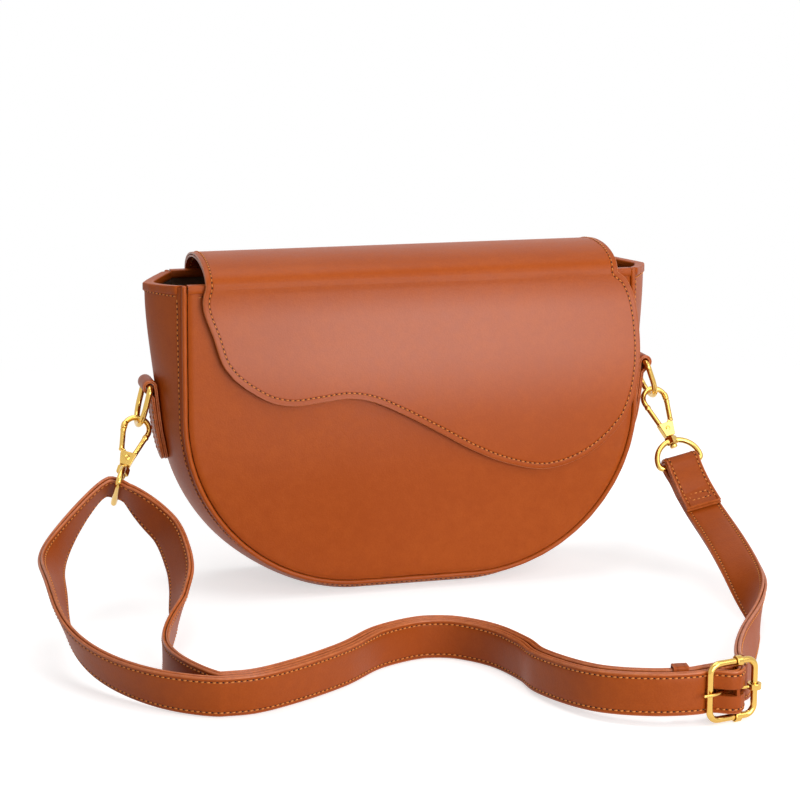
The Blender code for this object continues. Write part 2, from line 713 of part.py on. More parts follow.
def tab_leaf_line():
    """Inner leaf's middle line from tip to top as (outward, up), just outside the gusset."""
    rows = [level for level, _ in gusset_rows() if TAB_TIP + GAP < level < TAB_TOP - GAP]
    levels = [TAB_TIP] + rows + [TAB_TOP]
    sides = [gusset_side(z) for z in levels]
    return [(x + GAP + TAB_THICKNESS / 2, z) for x, z in zip(sides, levels)]


def tab_curl_radius():
    return RING_WIRE_RADIUS + 2 * GAP + TAB_THICKNESS / 2


def tab_ring_centre():
    """Place of the straight side of the tab ring as (outward, up)."""
    leaf = tab_leaf_line()
    return leaf[-1][0] + tab_curl_radius(), TAB_TOP


def tab_line():
    """Whole folded strip of a tab, tip to tip, as (outward, up)."""
    inner = tab_leaf_line()
    cx, cz = tab_ring_centre()
    radius = tab_curl_radius()
    step = TAB_THICKNESS + GAP
    fold = []
    for k in range(1, 10):
        turn = math.pi - TAB_CURL * k / 9
        fold.append((cx + radius * math.cos(turn), cz + radius * math.sin(turn)))
    outer = [(x + step, z) for x, z in inner[::-1]]
    neck = [p for p in outer if p[1] < cz - 2 * radius]
    return inner + fold + neck


def make_tab(name, side, look):
    line = tab_line()
    points = np.array([(side * x, 0.0, z) for x, z in line])
    along = tangents(points)
    sections = []
    for (x, y, z), t in zip(points, along):
        normal = np.array((-t[2], 0.0, t[0])) * TAB_THICKNESS / 2
        rise = min(max((z - TAB_TIP) / TAB_TIP_LENGTH, 0.0), 1.0)
        half = TAB_WIDTH / 2 * mix(TAB_TIP_WIDTH_SHARE, 1, math.sqrt(1 - (1 - rise) ** 2))
        across = np.array((0.0, half, 0.0))
        p = np.array((x, y, z))
        sections.append([p - across - normal, p + across - normal, p + across + normal, p - across + normal])
    return loft(name, sections, look)


def ring_line(half, height, corner, arc_steps=10):
    """A D-shaped loop as (across, down): straight side at 0, then legs and a round end."""
    points = [(-half + corner, 0.0), (half - corner, 0.0)]
    for a in (math.pi / 4, math.pi / 2):
        points.append((half - corner + corner * math.sin(a), corner - corner * math.cos(a)))
    leg = max(height - half, corner)
    round_height = height - leg
    for k in range(arc_steps + 1):
        turn = math.pi * k / arc_steps
        points.append((half * math.cos(turn), leg + round_height * math.sin(turn)))
    for a in (math.pi / 2, math.pi / 4):
        points.append((-half + corner - corner * math.sin(a), corner - corner * math.cos(a)))
    cleaned = [points[0]]
    for p in points[1:]:
        if math.dist(p, cleaned[-1]) > GAP:
            cleaned.append(p)
    return cleaned


def tab_ring_frame(side):
    """Straight side's centre, then the ring's across and down directions."""
    x, z = tab_ring_centre()
    swing = TAB_RING_SWING[side]
    down = np.array((side * math.sin(swing), 0.0, -math.cos(swing)))
    return np.array((side * x, 0.0, z)), np.array((0.0, 1.0, 0.0)), down


def make_tab_ring(name, side, look):
    centre, across, down = tab_ring_frame(side)
    corner = RING_WIRE_RADIUS * 2
    loop = ring_line(TAB_RING_HALF_WIDTH, TAB_RING_HEIGHT, corner)
    line = [centre + a * across + d * down for a, d in loop]
    return tube(name, line, RING_WIRE_RADIUS, look, closed=True, origin=centre)


# Snap hooks.


def hook_frame(side):
    """Crook's centre and the hook's own axes: toward its gate, through its thickness, up its axis."""
    centre, _, down = tab_ring_frame(side)
    tilt, lean = HOOK_TILT[side], HOOK_LEAN[side]
    fore = np.array((0.0, math.sin(lean), math.cos(lean)))
    aside = np.array((side, 0.0, 0.0))
    up = fore * math.cos(tilt) - aside * math.sin(tilt)
    gate = fore * math.sin(tilt) + aside * math.cos(tilt)
    swing_up = np.array((-side * math.sin(tilt), 0.0, math.cos(tilt)))
    link = centre + down * TAB_RING_HEIGHT
    crook = link + swing_up * (RING_WIRE_RADIUS + GAP + HOOK_WIRE_RADIUS)
    return crook, (gate, np.cross(up, gate), up)


def in_hook(side, x, y, down):
    crook, (gate, through, up) = hook_frame(side)
    return crook + x * gate + y * through - down * up


def hook_prism(name, side, outline, half, look):
    """A flat plate with the given (toward gate, down) outline, centred through the hook's thickness."""
    sections = [[in_hook(side, x, y, d) for x, d in outline] for y in (-half, half)]
    return loft(name, sections, look)


def hook_turning(name, side, profile, look):
    """A turned piece on the hook's axis, from a profile of (radius, down)."""
    angles = [math.tau * k / SIDES for k in range(SIDES)]
    sections = []
    for radius, down in profile:
        sections.append([in_hook(side, radius * math.cos(t), radius * math.sin(t), down) for t in angles])
    return loft(name, sections, look)


def gate_leg():
    """Ends of the gate's middle line as (toward gate, down)."""
    top = (CROOK_RADIUS - HOOK_WIRE_RADIUS / 8, GATE_TOP)
    foot = (HOOK_SHOULDER_HALF_WIDTH - HOOK_WIRE_RADIUS / 4, HOOK_WAIST - GATE_END_GAP)
    return top, foot


def make_hook_frame(name, side, look):
    """Loop from the fixed shoulder round the crook to the gate, on a block that holds gate and swivel."""
    over = CROOK_OVERSWING
    fixed_top = (-CROOK_RADIUS * math.cos(over), CROOK_RADIUS * (1 + math.sin(over)))
    root = (-HOOK_FOOT_HALF_WIDTH, HOOK_WAIST + HOOK_WIRE_RADIUS)
    line = [root, mix(np.array(root), np.array(fixed_top), 0.5)]
    for k in range(13):
        turn = (math.pi + over) * (1 - k / 12)
        line.append((CROOK_RADIUS * math.cos(turn), CROOK_RADIUS * (1 - math.sin(turn))))
    (top_x, top_d), _ = gate_leg()
    line.append((top_x, top_d - GATE_END_GAP))
    points = [in_hook(side, x, 0.0, d) for x, d in line]
    frame = tube(name, points, HOOK_WIRE_RADIUS, look, sides=SIDES, origin=in_hook(side, 0.0, 0.0, 0.0))
    shoulder, foot = HOOK_SHOULDER_HALF_WIDTH, HOOK_FOOT_HALF_WIDTH
    outline = [(-shoulder, HOOK_WAIST), (shoulder, HOOK_WAIST), (foot, HOOK_HEEL), (-foot, HOOK_HEEL)]
    boolean(frame, hook_prism("block", side, outline, HOOK_BLOCK_HALF_THICKNESS, look), "UNION")
    room = GATE_TANG_RADIUS + GAP
    out = shoulder + OVERRUN / 4
    top = HOOK_WAIST - HOOK_WIRE_RADIUS * 2
    floor = GATE_PIVOT_DEPTH + room
    notch = GATE_PIVOT_DEPTH - GATE_TANG_RADIUS
    slot = [(GAP, top), (out, top), (out, floor), (-room, floor), (-room, notch)]
    boolean(frame, hook_prism("slot", side, slot, GATE_SLOT_HALF_WIDTH + GAP, look), "DIFFERENCE")
    reach = HOOK_BLOCK_HALF_THICKNESS * 2
    ends = [in_hook(side, 0.0, y, GATE_PIVOT_DEPTH) for y in (-reach, reach)]
    boolean(frame, rod("bore", ends[0], ends[1], GATE_PIVOT_RADIUS + GAP, look), "DIFFERENCE")
    socket = HOOK_HEEL - SWIVEL_POST_RADIUS * 1.5
    ends = [in_hook(side, 0.0, 0.0, d) for d in (socket, HOOK_HEEL + OVERRUN)]
    boolean(frame, rod("bore", ends[0], ends[1], SWIVEL_POST_RADIUS + GAP, look, SIDES), "DIFFERENCE")
    return frame


def make_gate(name, side, look):
    """Round gate leg on a thin tang that turns on the rivet."""
    top, foot = gate_leg()
    points = [in_hook(side, x, 0.0, d) for x, d in (top, foot)]
    pivot = in_hook(side, 0.0, 0.0, GATE_PIVOT_DEPTH)
    gate = tube(name, points, HOOK_WIRE_RADIUS, look, sides=SIDES, origin=pivot)
    neck = HOOK_WIRE_RADIUS / 2
    outline = [(foot[0] - neck, foot[1] - neck * 2), (foot[0] + neck, foot[1] - neck * 2)]
    for k in range(9):
        turn = TANG_ARC_START + TANG_ARC * k / 8
        down = GATE_PIVOT_DEPTH + GATE_TANG_RADIUS * math.sin(turn)
        outline.append((GATE_TANG_RADIUS * math.cos(turn), down))
    boolean(gate, hook_prism("tang", side, outline, GATE_SLOT_HALF_WIDTH, look), "UNION")
    ends = [in_hook(side, 0.0, y, GATE_PIVOT_DEPTH) for y in (-OVERRUN / 4, OVERRUN / 4)]
    boolean(gate, rod("bore", ends[0], ends[1], GATE_PIVOT_RADIUS + GAP, look), "DIFFERENCE")
    return gate


def make_hook(tag, side, ring_turn, metal):
    """All pieces of one snap hook with the ring that carries the strap."""
    make_hook_frame("hook_frame_" + tag, side, metal)
    make_gate("hook_gate_" + tag, side, metal)
    half = HOOK_BLOCK_HALF_THICKNESS + GAP
    ends = [in_hook(side, 0.0, y, GATE_PIVOT_DEPTH) for y in (-half, half)]
    rod("gate_rivet_" + tag, ends[0], ends[1], GATE_PIVOT_RADIUS, metal)
    boss_top = HOOK_HEEL + GAP
    boss_foot = boss_top + SWIVEL_BOSS_LENGTH
    head_top = boss_foot + GAP
    profile = [(SWIVEL_POST_RADIUS, HOOK_HEEL - SWIVEL_POST_RADIUS), (SWIVEL_POST_RADIUS, head_top)]
    profile += [(SWIVEL_HEAD_RADIUS, head_top), (SWIVEL_HEAD_RADIUS, head_top + SWIVEL_HEAD_LENGTH)]
    hook_turning("swivel_rivet_" + tag, side, profile, metal)
    _, (gate, through, up) = hook_frame(side)
    across = math.cos(ring_turn) * gate + math.sin(ring_turn) * through
    bar = in_hook(side, 0.0, 0.0, boss_top + SWIVEL_BOSS_LENGTH / 2 + STRAP_RING_HEIGHT)
    corner = RING_WIRE_RADIUS * 1.5
    line = ring_line(STRAP_RING_HALF_WIDTH, STRAP_RING_HEIGHT, corner)
    places = [bar + a * across + d * up for a, d in line]
    ring = tube("strap_ring_" + tag, places, RING_WIRE_RADIUS, metal, closed=True)
    ends = [in_hook(side, 0.0, 0.0, d) for d in (boss_top, boss_foot)]
    boolean(ring, rod("boss", ends[0], ends[1], SWIVEL_BOSS_RADIUS, metal), "UNION")
    ends = [in_hook(side, 0.0, 0.0, d) for d in (boss_top - OVERRUN / 8, boss_foot + OVERRUN / 8)]
    boolean(ring, rod("bore", ends[0], ends[1], SWIVEL_POST_RADIUS + GAP, metal), "DIFFERENCE")
    return bar, across, up


# Strap: stations are a place and the direction of the strap's width.


def ribbon(name, stations, low, high, look, half=STRAP_WIDTH / 2, origin=(0.0, 0.0, 0.0)):
    """A flat band along its stations, between two offsets from its middle."""
    points = [p for p, _ in stations]
    lines = tangents(points)
    corners = []
    for i, ((p, w), line) in enumerate(zip(stations, lines)):
        w = unit(w - line * line.dot(w))
        normal = np.cross(line, w)
        ahead = unit(points[i + 1] - p) if i + 1 < len(points) else line
        mitre = 1 / max(line.dot(ahead), MITRE_LIMIT)
        side = w * half
        a, b = p + normal * low * mitre, p + normal * high * mitre
        corners += [a - side, a + side, b + side, b - side]
    faces = [(0, 1, 2, 3)]
    for i in range(len(stations) - 1):
        a, b, c, d, e, f, g, h = range(4 * i, 4 * i + 8)
        # Layers that lie together run opposite ways, and their twisted faces must split alike.
        if points[i + 1][0] > points[i][0]:
            faces += [(a, b, f), (a, f, e), (c, d, g), (d, h, g)]
        else:
            faces += [(a, b, e), (b, f, e), (c, d, h), (c, h, g)]
        faces += [(b, c, g, f), (d, a, e, h)]
    last = 4 * len(stations) - 4
    faces.append((last, last + 1, last + 2, last + 3))
    return mesh_object(name, corners, faces, look, origin)


def normals(stations):
    """Direction that the outer face looks at each station."""
    lines = tangents([p for p, _ in stations])
    return [np.cross(line, unit(w - line * line.dot(w))) for (_, w), line in zip(stations, lines)]


def from_table(table):
    """Stations from rows of (x, y, height) shares and a width direction."""
    return [(np.array(row[:3]) * STRAP_REACH, unit(row[3:])) for row in table]


def on_ground(stations):
    """Lifts each station until its lowest edge is clear of the ground."""
    lifted = []
    for (p, w), n in zip(stations, normals(stations)):
        low = p[2] - abs(w[2]) * STRAP_WIDTH / 2 - abs(n[2]) * STRAP_THICKNESS / 2 - GAP
        lifted.append((p + np.array((0.0, 0.0, max(-low, 0.0))), w))
    return lifted


def spread(stations, step=STRAP_STEP):
    """Smooth run of stations through the given ones."""
    rows = smooth_line([np.concatenate([p, w]) for p, w in stations], step)
    return [(row[:3], unit(row[3:])) for row in rows]


def buckle_axes():
    u = np.array((math.cos(BUCKLE_TURN), math.sin(BUCKLE_TURN), 0.0))
    n = np.array((math.sin(BUCKLE_TURN), -math.cos(BUCKLE_TURN), 0.0))
    return u, n, np.array((0.0, 0.0, 1.0))


def buckle_centre():
    x, y = BUCKLE_PLACE_SHARES
    height = BUCKLE_HALF_HEIGHT + bar_eye_radius()
    return np.array((x * STRAP_REACH, y * STRAP_REACH, height))


def in_buckle(along, out, up=0.0):
    u, n, z = buckle_axes()
    return buckle_centre() + u * along + n * out + z * up


def bar_eye_radius():
    return BUCKLE_WIRE_RADIUS + GAP + BAR_EYE_THICKNESS


def bar_out():
    """Place of the middle bar behind the plane of the buckle."""
    return BUCKLE_BAR_RADIUS - bar_eye_radius()


def front_layer_out():
    return -(BUCKLE_WIRE_RADIUS + GAP + STRAP_THICKNESS / 2)


def wrap_radius():
    return BUCKLE_BAR_RADIUS + GAP + STRAP_THICKNESS / 2


def rear_layer_out():
    return bar_out() - wrap_radius() - STRAP_THICKNESS - KEEPER_THICKNESS - 2 * GAP


def middle_run():
    """Stations midway between the two layers on the ground, from the left end to the buckle."""
    rows = [np.array((x, y, 0.0)) * STRAP_REACH for x, y, _ in MIDDLE_RUN_SHARES]
    leans = [math.radians(lean) for _, _, lean in MIDDLE_RUN_SHARES]
    for along in (-BUCKLE_HALF_LENGTH - BUCKLE_ENTRY_LENGTH, -BUCKLE_HALF_LENGTH):
        end = in_buckle(along, (front_layer_out() + rear_layer_out()) / 2)
        rows.append(np.array((end[0], end[1], 0.0)))
        leans.append(0.0)
    line = smooth_line([np.append(p, lean) for p, lean in zip(rows, leans)], STRAP_STEP)
    places = [row[:3] for row in line]
    stations = []
    centre_height = buckle_centre()[2]
    walked = np.cumsum([0.0] + [math.dist(a, b) for a, b in zip(places, places[1:])])
    for row, along, way in zip(line, tangents(places), walked):
        toward = np.array((along[1], -along[0], 0.0))
        w = math.cos(row[3]) * np.array((0.0, 0.0, 1.0)) + math.sin(row[3]) * toward
        base = w * STRAP_WIDTH / 2
        base[2] += math.sin(abs(row[3])) * (STRAP_THICKNESS + GAP) + GAP
        rise = ease(1 - (walked[-1] - way) / BUCKLE_RISE_LENGTH)
        base[2] = mix(base[2], centre_height, rise)
        stations.append((row[:3] + base, w))
    return stations


def layer(stations, side):
    """One layer of the doubled run: side is 1 for the front one and -1 for the rear one."""
    apart = (STRAP_THICKNESS + STRAP_LAYER_GAP) / 2
    at_buckle = (front_layer_out() - rear_layer_out()) / 2
    places = [p for p, _ in stations]
    walked = np.cumsum([0.0] + [math.dist(a, b) for a, b in zip(places, places[1:])])
    moved = []
    for (p, w), n, way in zip(stations, normals(stations), walked):
        offset = mix(apart, at_buckle, ease(1 - (walked[-1] - way) / BUCKLE_RISE_LENGTH))
        moved.append((p + n * side * offset, w))
    return moved


def strap_route(rings):
    """Every station of the strap, from its sewn end at the right ring to its end at the buckle's bar."""
    z = np.array((0.0, 0.0, 1.0))
    bar, across, up = rings["right"]
    round_bar = RING_WIRE_RADIUS + GAP + STRAP_THICKNESS / 2
    front = -np.cross(up, across)
    apart = (STRAP_THICKNESS + STRAP_LAYER_GAP) / 2
    widen = 2 * round_bar - 2 * apart
    start = []
    for k in range(4):
        drawn = front * (widen * ease(k / 3) - round_bar)
        start.append((bar + drawn - up * STRAP_FOLD_EASE * k / 3, across))
    run = middle_run()
    rear = layer(run, -1)[::-1]
    ahead = layer(run, 1)
    behind = [(in_buckle(a, rear_layer_out()), z) for a in (BUCKLE_HALF_LENGTH, 0.0)]
    hanging = spread(start + on_ground(from_table(RIGHT_HANGING_SHARES)) + behind + rear[:1])
    bar_l, across_l, up_l = rings["left"]
    onward = np.cross(across_l, up_l)
    over = []
    for k in (-1, 0, 1):
        spot = bar_l + up_l * (round_bar - RING_WIRE_RADIUS * abs(k)) + onward * round_bar * 2 * k
        over.append((spot, across_l))
    right_branch = on_ground(from_table(RIGHT_BRANCH_SHARES))
    left_branch = on_ground(from_table(LEFT_BRANCH_SHARES))
    loop = rear + right_branch + over + left_branch + ahead
    through = []
    for a, out in BUCKLE_FOLD_SHARES:
        through.append((in_buckle(a * BUCKLE_HALF_LENGTH, out * BUCKLE_HALF_LENGTH), z))
    for k in range(7):
        turn = WRAP_START - WRAP_SWEEP * k / 6
        r = wrap_radius()
        through.append((in_buckle(BUCKLE_BAR_PLACE + r * math.cos(turn), bar_out() + r * math.sin(turn)), z))
    through.append((in_buckle(BUCKLE_BAR_PLACE - BUCKLE_TAIL_LENGTH, bar_out() - wrap_radius()), z))
    main_run = hanging[:-1] + spread(loop + through)
    fold = []
    walked = 0.0
    outs = normals(main_run)
    for i, ((p, w), n) in enumerate(zip(main_run, outs)):
        if i:
            walked += np.linalg.norm(p - main_run[i - 1][0])
            fold.append((p + n * (2 * apart + widen * (1 - ease(walked / STRAP_FOLD_EASE))), w))
        if walked > STRAP_TURN_LENGTH:
            break
    wrap = []
    for k in range(1, 6):
        turn = math.pi * k / 6
        wrap.append((bar + round_bar * (front * math.cos(turn) + up * math.sin(turn)), across))
    return fold[::-1] + [(bar + front * round_bar, across)] + wrap + main_run


def make_strap(rings, outer_look, lining_look):
    route = strap_route(rings)
    half = STRAP_THICKNESS / 2
    for name, low, high, look in (
        ("strap_outer", GAP / 2, half, outer_look),
        ("strap_lining", -half, -GAP / 2, lining_look),
    ):
        band = ribbon(name, route, low, high, look)
        u, n, z = buckle_axes()
        for a, b, near, far in prong_slots():
            centre = in_buckle((a + b) / 2, (near + far) / 2)
            halves = ((b - a) / 2, (far - near) / 2, PRONG_RADIUS + KEEPER_CLEARANCE)
            boolean(band, block("slot", centre, (u, n, z), halves, look), "DIFFERENCE")


def prong_slots():
    """Openings for the prong: along the strap from and to, then out from the buckle's plane from and to."""
    half = STRAP_THICKNESS / 2
    start = -BUCKLE_HALF_LENGTH - BUCKLE_WIRE_RADIUS
    left = (start, -PRONG_SLOT_MARGIN, front_layer_out() - half - GAP, OVERRUN)
    fold = (PRONG_SLOT_MARGIN, BUCKLE_HALF_LENGTH, bar_out(), OVERRUN)
    return left, fold


def make_buckle(metal):
    u, n, z = buckle_axes()
    corner = BUCKLE_CORNER_RADIUS
    line = []
    for cu, cz, start in ((1, 1, 0), (-1, 1, 1), (-1, -1, 2), (1, -1, 3)):
        for k in range(4):
            turn = math.pi / 2 * (start + k / 3)
            a = cu * (BUCKLE_HALF_LENGTH - corner) + corner * math.cos(turn)
            up = cz * (BUCKLE_HALF_HEIGHT - corner) + corner * math.sin(turn)
            line.append(in_buckle(a, 0.0, up))
    tube(
        "buckle_frame", line, BUCKLE_WIRE_RADIUS, metal,
        closed=True, sides=SIDES, origin=in_buckle(0.0, 0.0),
    )
    ends = [in_buckle(BUCKLE_BAR_PLACE, bar_out(), up) for up in (-BUCKLE_HALF_HEIGHT, BUCKLE_HALF_HEIGHT)]
    bar = rod("buckle_bar", ends[0], ends[1], BUCKLE_BAR_RADIUS, metal, SIDES)
    half = BAR_EYE_LENGTH / 2
    for up in (-BUCKLE_HALF_HEIGHT, BUCKLE_HALF_HEIGHT):
        ends = [in_buckle(BUCKLE_BAR_PLACE + a, 0.0, up) for a in (-half, half)]
        boolean(bar, rod("eye", ends[0], ends[1], bar_eye_radius(), metal, SIDES * 2), "UNION")
    for up in (-BUCKLE_HALF_HEIGHT, BUCKLE_HALF_HEIGHT):
        ends = [in_buckle(BUCKLE_BAR_PLACE + a, 0.0, up) for a in (-half * 2, half * 2)]
        boolean(bar, rod("bore", ends[0], ends[1], BUCKLE_WIRE_RADIUS + GAP, metal, SIDES * 2), "DIFFERENCE")
    pivot = in_buckle(BUCKLE_HALF_LENGTH, 0.0)
    eye_radius = BUCKLE_WIRE_RADIUS + GAP + PRONG_RADIUS * 2
    half = BUCKLE_HALF_LENGTH
    points = [in_buckle(a * half, out * half) for a, out in PRONG_SHAFT_SHARES]
    lay = BUCKLE_WIRE_RADIUS + GAP + PRONG_RADIUS
    for a, out in PRONG_TIP_SHARES:
        points.append(in_buckle(a * BUCKLE_HALF_LENGTH, out * lay))
    prong = tube("buckle_prong", points, PRONG_RADIUS, metal, sides=SIDES, origin=pivot)
    ends = [in_buckle(BUCKLE_HALF_LENGTH, 0.0, up) for up in (-PRONG_EYE_LENGTH / 2, PRONG_EYE_LENGTH / 2)]
    boolean(prong, rod("eye", ends[0], ends[1], eye_radius, metal), "UNION")
    ends = [in_buckle(BUCKLE_HALF_LENGTH, 0.0, up) for up in (-PRONG_EYE_LENGTH, PRONG_EYE_LENGTH)]
    boolean(prong, rod("bore", ends[0], ends[1], BUCKLE_WIRE_RADIUS + GAP, metal), "DIFFERENCE")


def make_keeper(look):
    """A band round the rear layer just before the buckle."""
    places = np.array([p for p, _ in layer(middle_run(), -1)])
    walked = np.concatenate([[0.0], np.cumsum(np.linalg.norm(np.diff(places, axis=0), axis=1))])
    spots = [walked[-1] - KEEPER_SETBACK + d for d in (-KEEPER_LENGTH / 2, 0.0, KEEPER_LENGTH / 2)]
    low, centre, high = [np.array([np.interp(s, walked, places[:, i]) for i in range(3)]) for s in spots]
    along = unit(high - low)
    up = unit(np.array((0.0, 0.0, 1.0)) - along * along[2])
    out = np.cross(along, up)
    half_out = STRAP_THICKNESS / 2 + KEEPER_CLEARANCE
    half_up = STRAP_WIDTH / 2 + KEEPER_CLEARANCE
    sections = []
    for side_out, side_up, start in ((1, 1, 0), (-1, 1, 1), (-1, -1, 2), (1, -1, 3)):
        corner = centre + out * side_out * (half_out - GAP) + up * side_up * (half_up - GAP)
        for k in range(3):
            turn = math.pi / 2 * (start + k / 2)
            ray = out * math.cos(turn) + up * math.sin(turn)
            section = []
            for lengthwise, deep in ((-1, 0), (1, 0), (1, 1), (-1, 1)):
                reach = GAP + deep * KEEPER_THICKNESS
                section.append(corner + ray * reach + along * lengthwise * KEEPER_LENGTH / 2)
            sections.append(section)
    loft("keeper", sections, look, closed=True, origin=centre)


def main():
    clear_scene()
    leather = material("tan_leather", (0.42, 0.13, 0.035), 0.45)
    edge = material("leather_piping", (0.46, 0.15, 0.045), 0.4)
    inside = material("flap_lining_leather", (0.33, 0.11, 0.035), 0.6)
    strap_leather = material("strap_leather", (0.38, 0.12, 0.035), 0.5)
    board = material("fibre_board", (0.32, 0.25, 0.17), 0.8)
    cloth = material("lining_cloth", (0.20, 0.09, 0.04), 0.85)
    steel = material("magnet_steel", (0.55, 0.55, 0.57), 0.35, 1.0)
    gold = material("gold_plate", (0.90, 0.62, 0.22), 0.2, 1.0)
    make_shell(leather, edge, board, cloth)
    make_bindings(leather)
    make_flap(leather, inside)
    make_magnets(steel)
    rings = {}
    for tag, side, ring_turn in (("left", -1, math.pi / 2), ("right", 1, 0.0)):
        make_tab("ring_tab_" + tag, side, leather)
        make_tab_ring("tab_ring_" + tag, side, gold)
        rings[tag] = make_hook(tag, side, ring_turn, gold)
    make_strap(rings, strap_leather, inside)
    make_buckle(gold)
    make_keeper(strap_leather)


main()
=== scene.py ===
import json
import math

import bmesh
import bpy
import numpy as np
from mathutils import Matrix


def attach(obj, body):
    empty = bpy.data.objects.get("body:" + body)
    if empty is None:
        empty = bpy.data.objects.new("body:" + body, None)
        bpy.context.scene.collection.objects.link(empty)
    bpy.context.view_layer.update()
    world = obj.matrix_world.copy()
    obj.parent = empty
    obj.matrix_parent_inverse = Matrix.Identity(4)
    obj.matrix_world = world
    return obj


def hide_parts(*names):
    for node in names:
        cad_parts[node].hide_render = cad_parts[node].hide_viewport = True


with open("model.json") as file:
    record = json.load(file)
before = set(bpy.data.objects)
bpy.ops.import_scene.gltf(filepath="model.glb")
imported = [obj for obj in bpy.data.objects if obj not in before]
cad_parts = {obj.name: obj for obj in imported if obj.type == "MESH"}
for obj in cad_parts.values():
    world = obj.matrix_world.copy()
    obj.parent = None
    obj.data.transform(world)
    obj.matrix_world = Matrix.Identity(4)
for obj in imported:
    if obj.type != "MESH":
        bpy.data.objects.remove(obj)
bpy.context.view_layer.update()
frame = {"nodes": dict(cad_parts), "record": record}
BODY_OF = {node: body for body, nodes in frame["record"]["behaviour"]["bodies"].items() for node in nodes}

# Sizes of the bag, in metres.
GAP = 0.0003
RIM_HALF_WIDTH = 0.1330
WIDEST_HALF_WIDTH = 0.1345
CORNER_RADIUS = 0.1000
SEAM_HEIGHT = 0.0070
RIM_HEIGHT = 0.1850
RIM_HALF_DEPTH = 0.0310
BASE_HALF_DEPTH = 0.0360
FULL_DEPTH_HEIGHT = 0.0700
PANEL_CROWN = 0.0040
LEATHER = 0.0014
SIDE_BULGE = 0.0085
RIM_BULGE = 0.0175
PINCH_HEIGHT = 0.0850
BASE_FLAT_HALF_DEPTH = 0.0200
GUSSET_RIM_DIP = 0.0020
PIPING_RADIUS = 0.0015
BINDING_THICKNESS = 0.0010
BINDING_DEPTH = 0.0045
BOARD_THICKNESS = 0.0012
LINING_THICKNESS = 0.0006

# Flap.
FLAP_OUTER = 0.0014
FLAP_LINING = 0.0012
FLAP_CLEARANCE = 0.0005
FLAP_RISE = 0.0115
FLAP_DROP = 0.1140
FLAP_SEWN_DEPTH = 0.0300
HINGE_HEIGHT = 0.1840
FLAP_LEFT = ((-0.905, 0.0), (-0.918, 0.06), (-0.915, 0.12), (-0.878, 0.25), (-0.842, 0.385), (-0.800, 0.455))
FLAP_RIGHT = (
    (0.905, 0.0), (0.945, 0.04), (0.982, 0.132), (1.006, 0.29), (1.009, 0.48), (0.985, 0.64), (0.945, 0.755),
)
FLAP_WAVE = (
    (-0.800, 0.455), (-0.742, 0.512), (-0.640, 0.582), (-0.545, 0.604), (-0.425, 0.592),
    (-0.305, 0.580), (-0.205, 0.602), (-0.065, 0.678), (0.085, 0.776), (0.240, 0.880),
    (0.375, 0.950), (0.540, 0.998), (0.655, 0.985), (0.775, 0.930), (0.870, 0.850), (0.945, 0.755),
)

# Ring tabs, rings and hooks.
TAB_WIDTH = 0.0200
TAB_THICKNESS = 0.0019
TAB_TOP = 0.1235
TAB_TIP = 0.0800
TAB_TIP_LENGTH = 0.0130
RING_WIRE = 0.0017
TAB_RING_HALF_WIDTH = 0.0124
TAB_RING_HEIGHT = 0.0238
TAB_RING_SWING = {-1: math.radians(15), 1: math.radians(20)}
HOOK_WIRE = 0.0016
HOOK_TILT = {-1: math.radians(22), 1: math.radians(12)}
HOOK_LEAN = {-1: math.radians(38), 1: math.radians(33)}
CROOK_RADIUS = 0.0073
GATE_TOP = 0.0098
HOOK_WAIST = 0.0235
HOOK_SHOULDER_HALF_WIDTH = 0.0048
HOOK_FOOT_HALF_WIDTH = 0.0030
HOOK_HEEL = 0.0320
HOOK_BLOCK_HALF_THICKNESS = 0.0022
GATE_SLOT_HALF_WIDTH = 0.0011
GATE_PIVOT_DEPTH = 0.0272
GATE_PIVOT_RADIUS = 0.0008
GATE_TANG_RADIUS = 0.0020
GATE_END_GAP = 0.0009
BOSS_RADIUS = 0.0030
BOSS_LENGTH = 0.0054
POST_RADIUS = 0.0013
HEAD_RADIUS = 0.0023
HEAD_LENGTH = 0.0018
STRAP_RING_HALF_WIDTH = 0.0142
STRAP_RING_HEIGHT = 0.0155

# Strap: each row of a table is a place in shares of the reach, then the direction of the strap's width.
STRAP_WIDTH = 0.0220
STRAP_THICKNESS = 0.0036
STRAP_TURN = 0.0340
STRAP_FOLD_EASE = 0.0120
STRAP_LAYER_GAP = 0.0006
STRAP_REACH = 0.2800
STRAP_STEP = 0.0022
RIGHT_HANGING = (
    (0.630, -0.135, 0.146, 0.96, 0.00, 0.25),
    (0.620, -0.304, 0.110, 0.95, -0.16, 0.26),
    (0.607, -0.429, 0.079, 0.85, -0.35, 0.38),
    (0.591, -0.518, 0.061, 0.50, -0.60, 0.60),
    (0.568, -0.613, 0.046, -0.20, -0.60, 0.76),
    (0.476, -0.766, 0.043, -0.45, -0.40, 0.80),
    (0.390, -0.938, 0.050, -0.40, -0.25, 0.88),
)
RIGHT_BRANCH = (
    (-0.599, -0.706, 0.051, 0.00, -0.15, 0.99),
    (-0.606, -0.595, 0.048, -0.02, -0.05, 1.00),
    (-0.592, -0.539, 0.045, -0.05, -0.05, 1.00),
    (-0.584, -0.484, 0.048, 0.06, -0.10, 0.99),
    (-0.548, -0.408, 0.070, 0.20, -0.25, 0.95),
    (-0.538, -0.366, 0.088, 0.35, -0.45, 0.82),
    (-0.524, -0.309, 0.113, 0.43, -0.60, 0.68),
    (-0.521, -0.251, 0.140, 0.44, -0.66, 0.62),
    (-0.534, -0.168, 0.178, 0.43, -0.61, 0.66),
    (-0.578, -0.119, 0.221, 0.35, -0.59, 0.72),
)
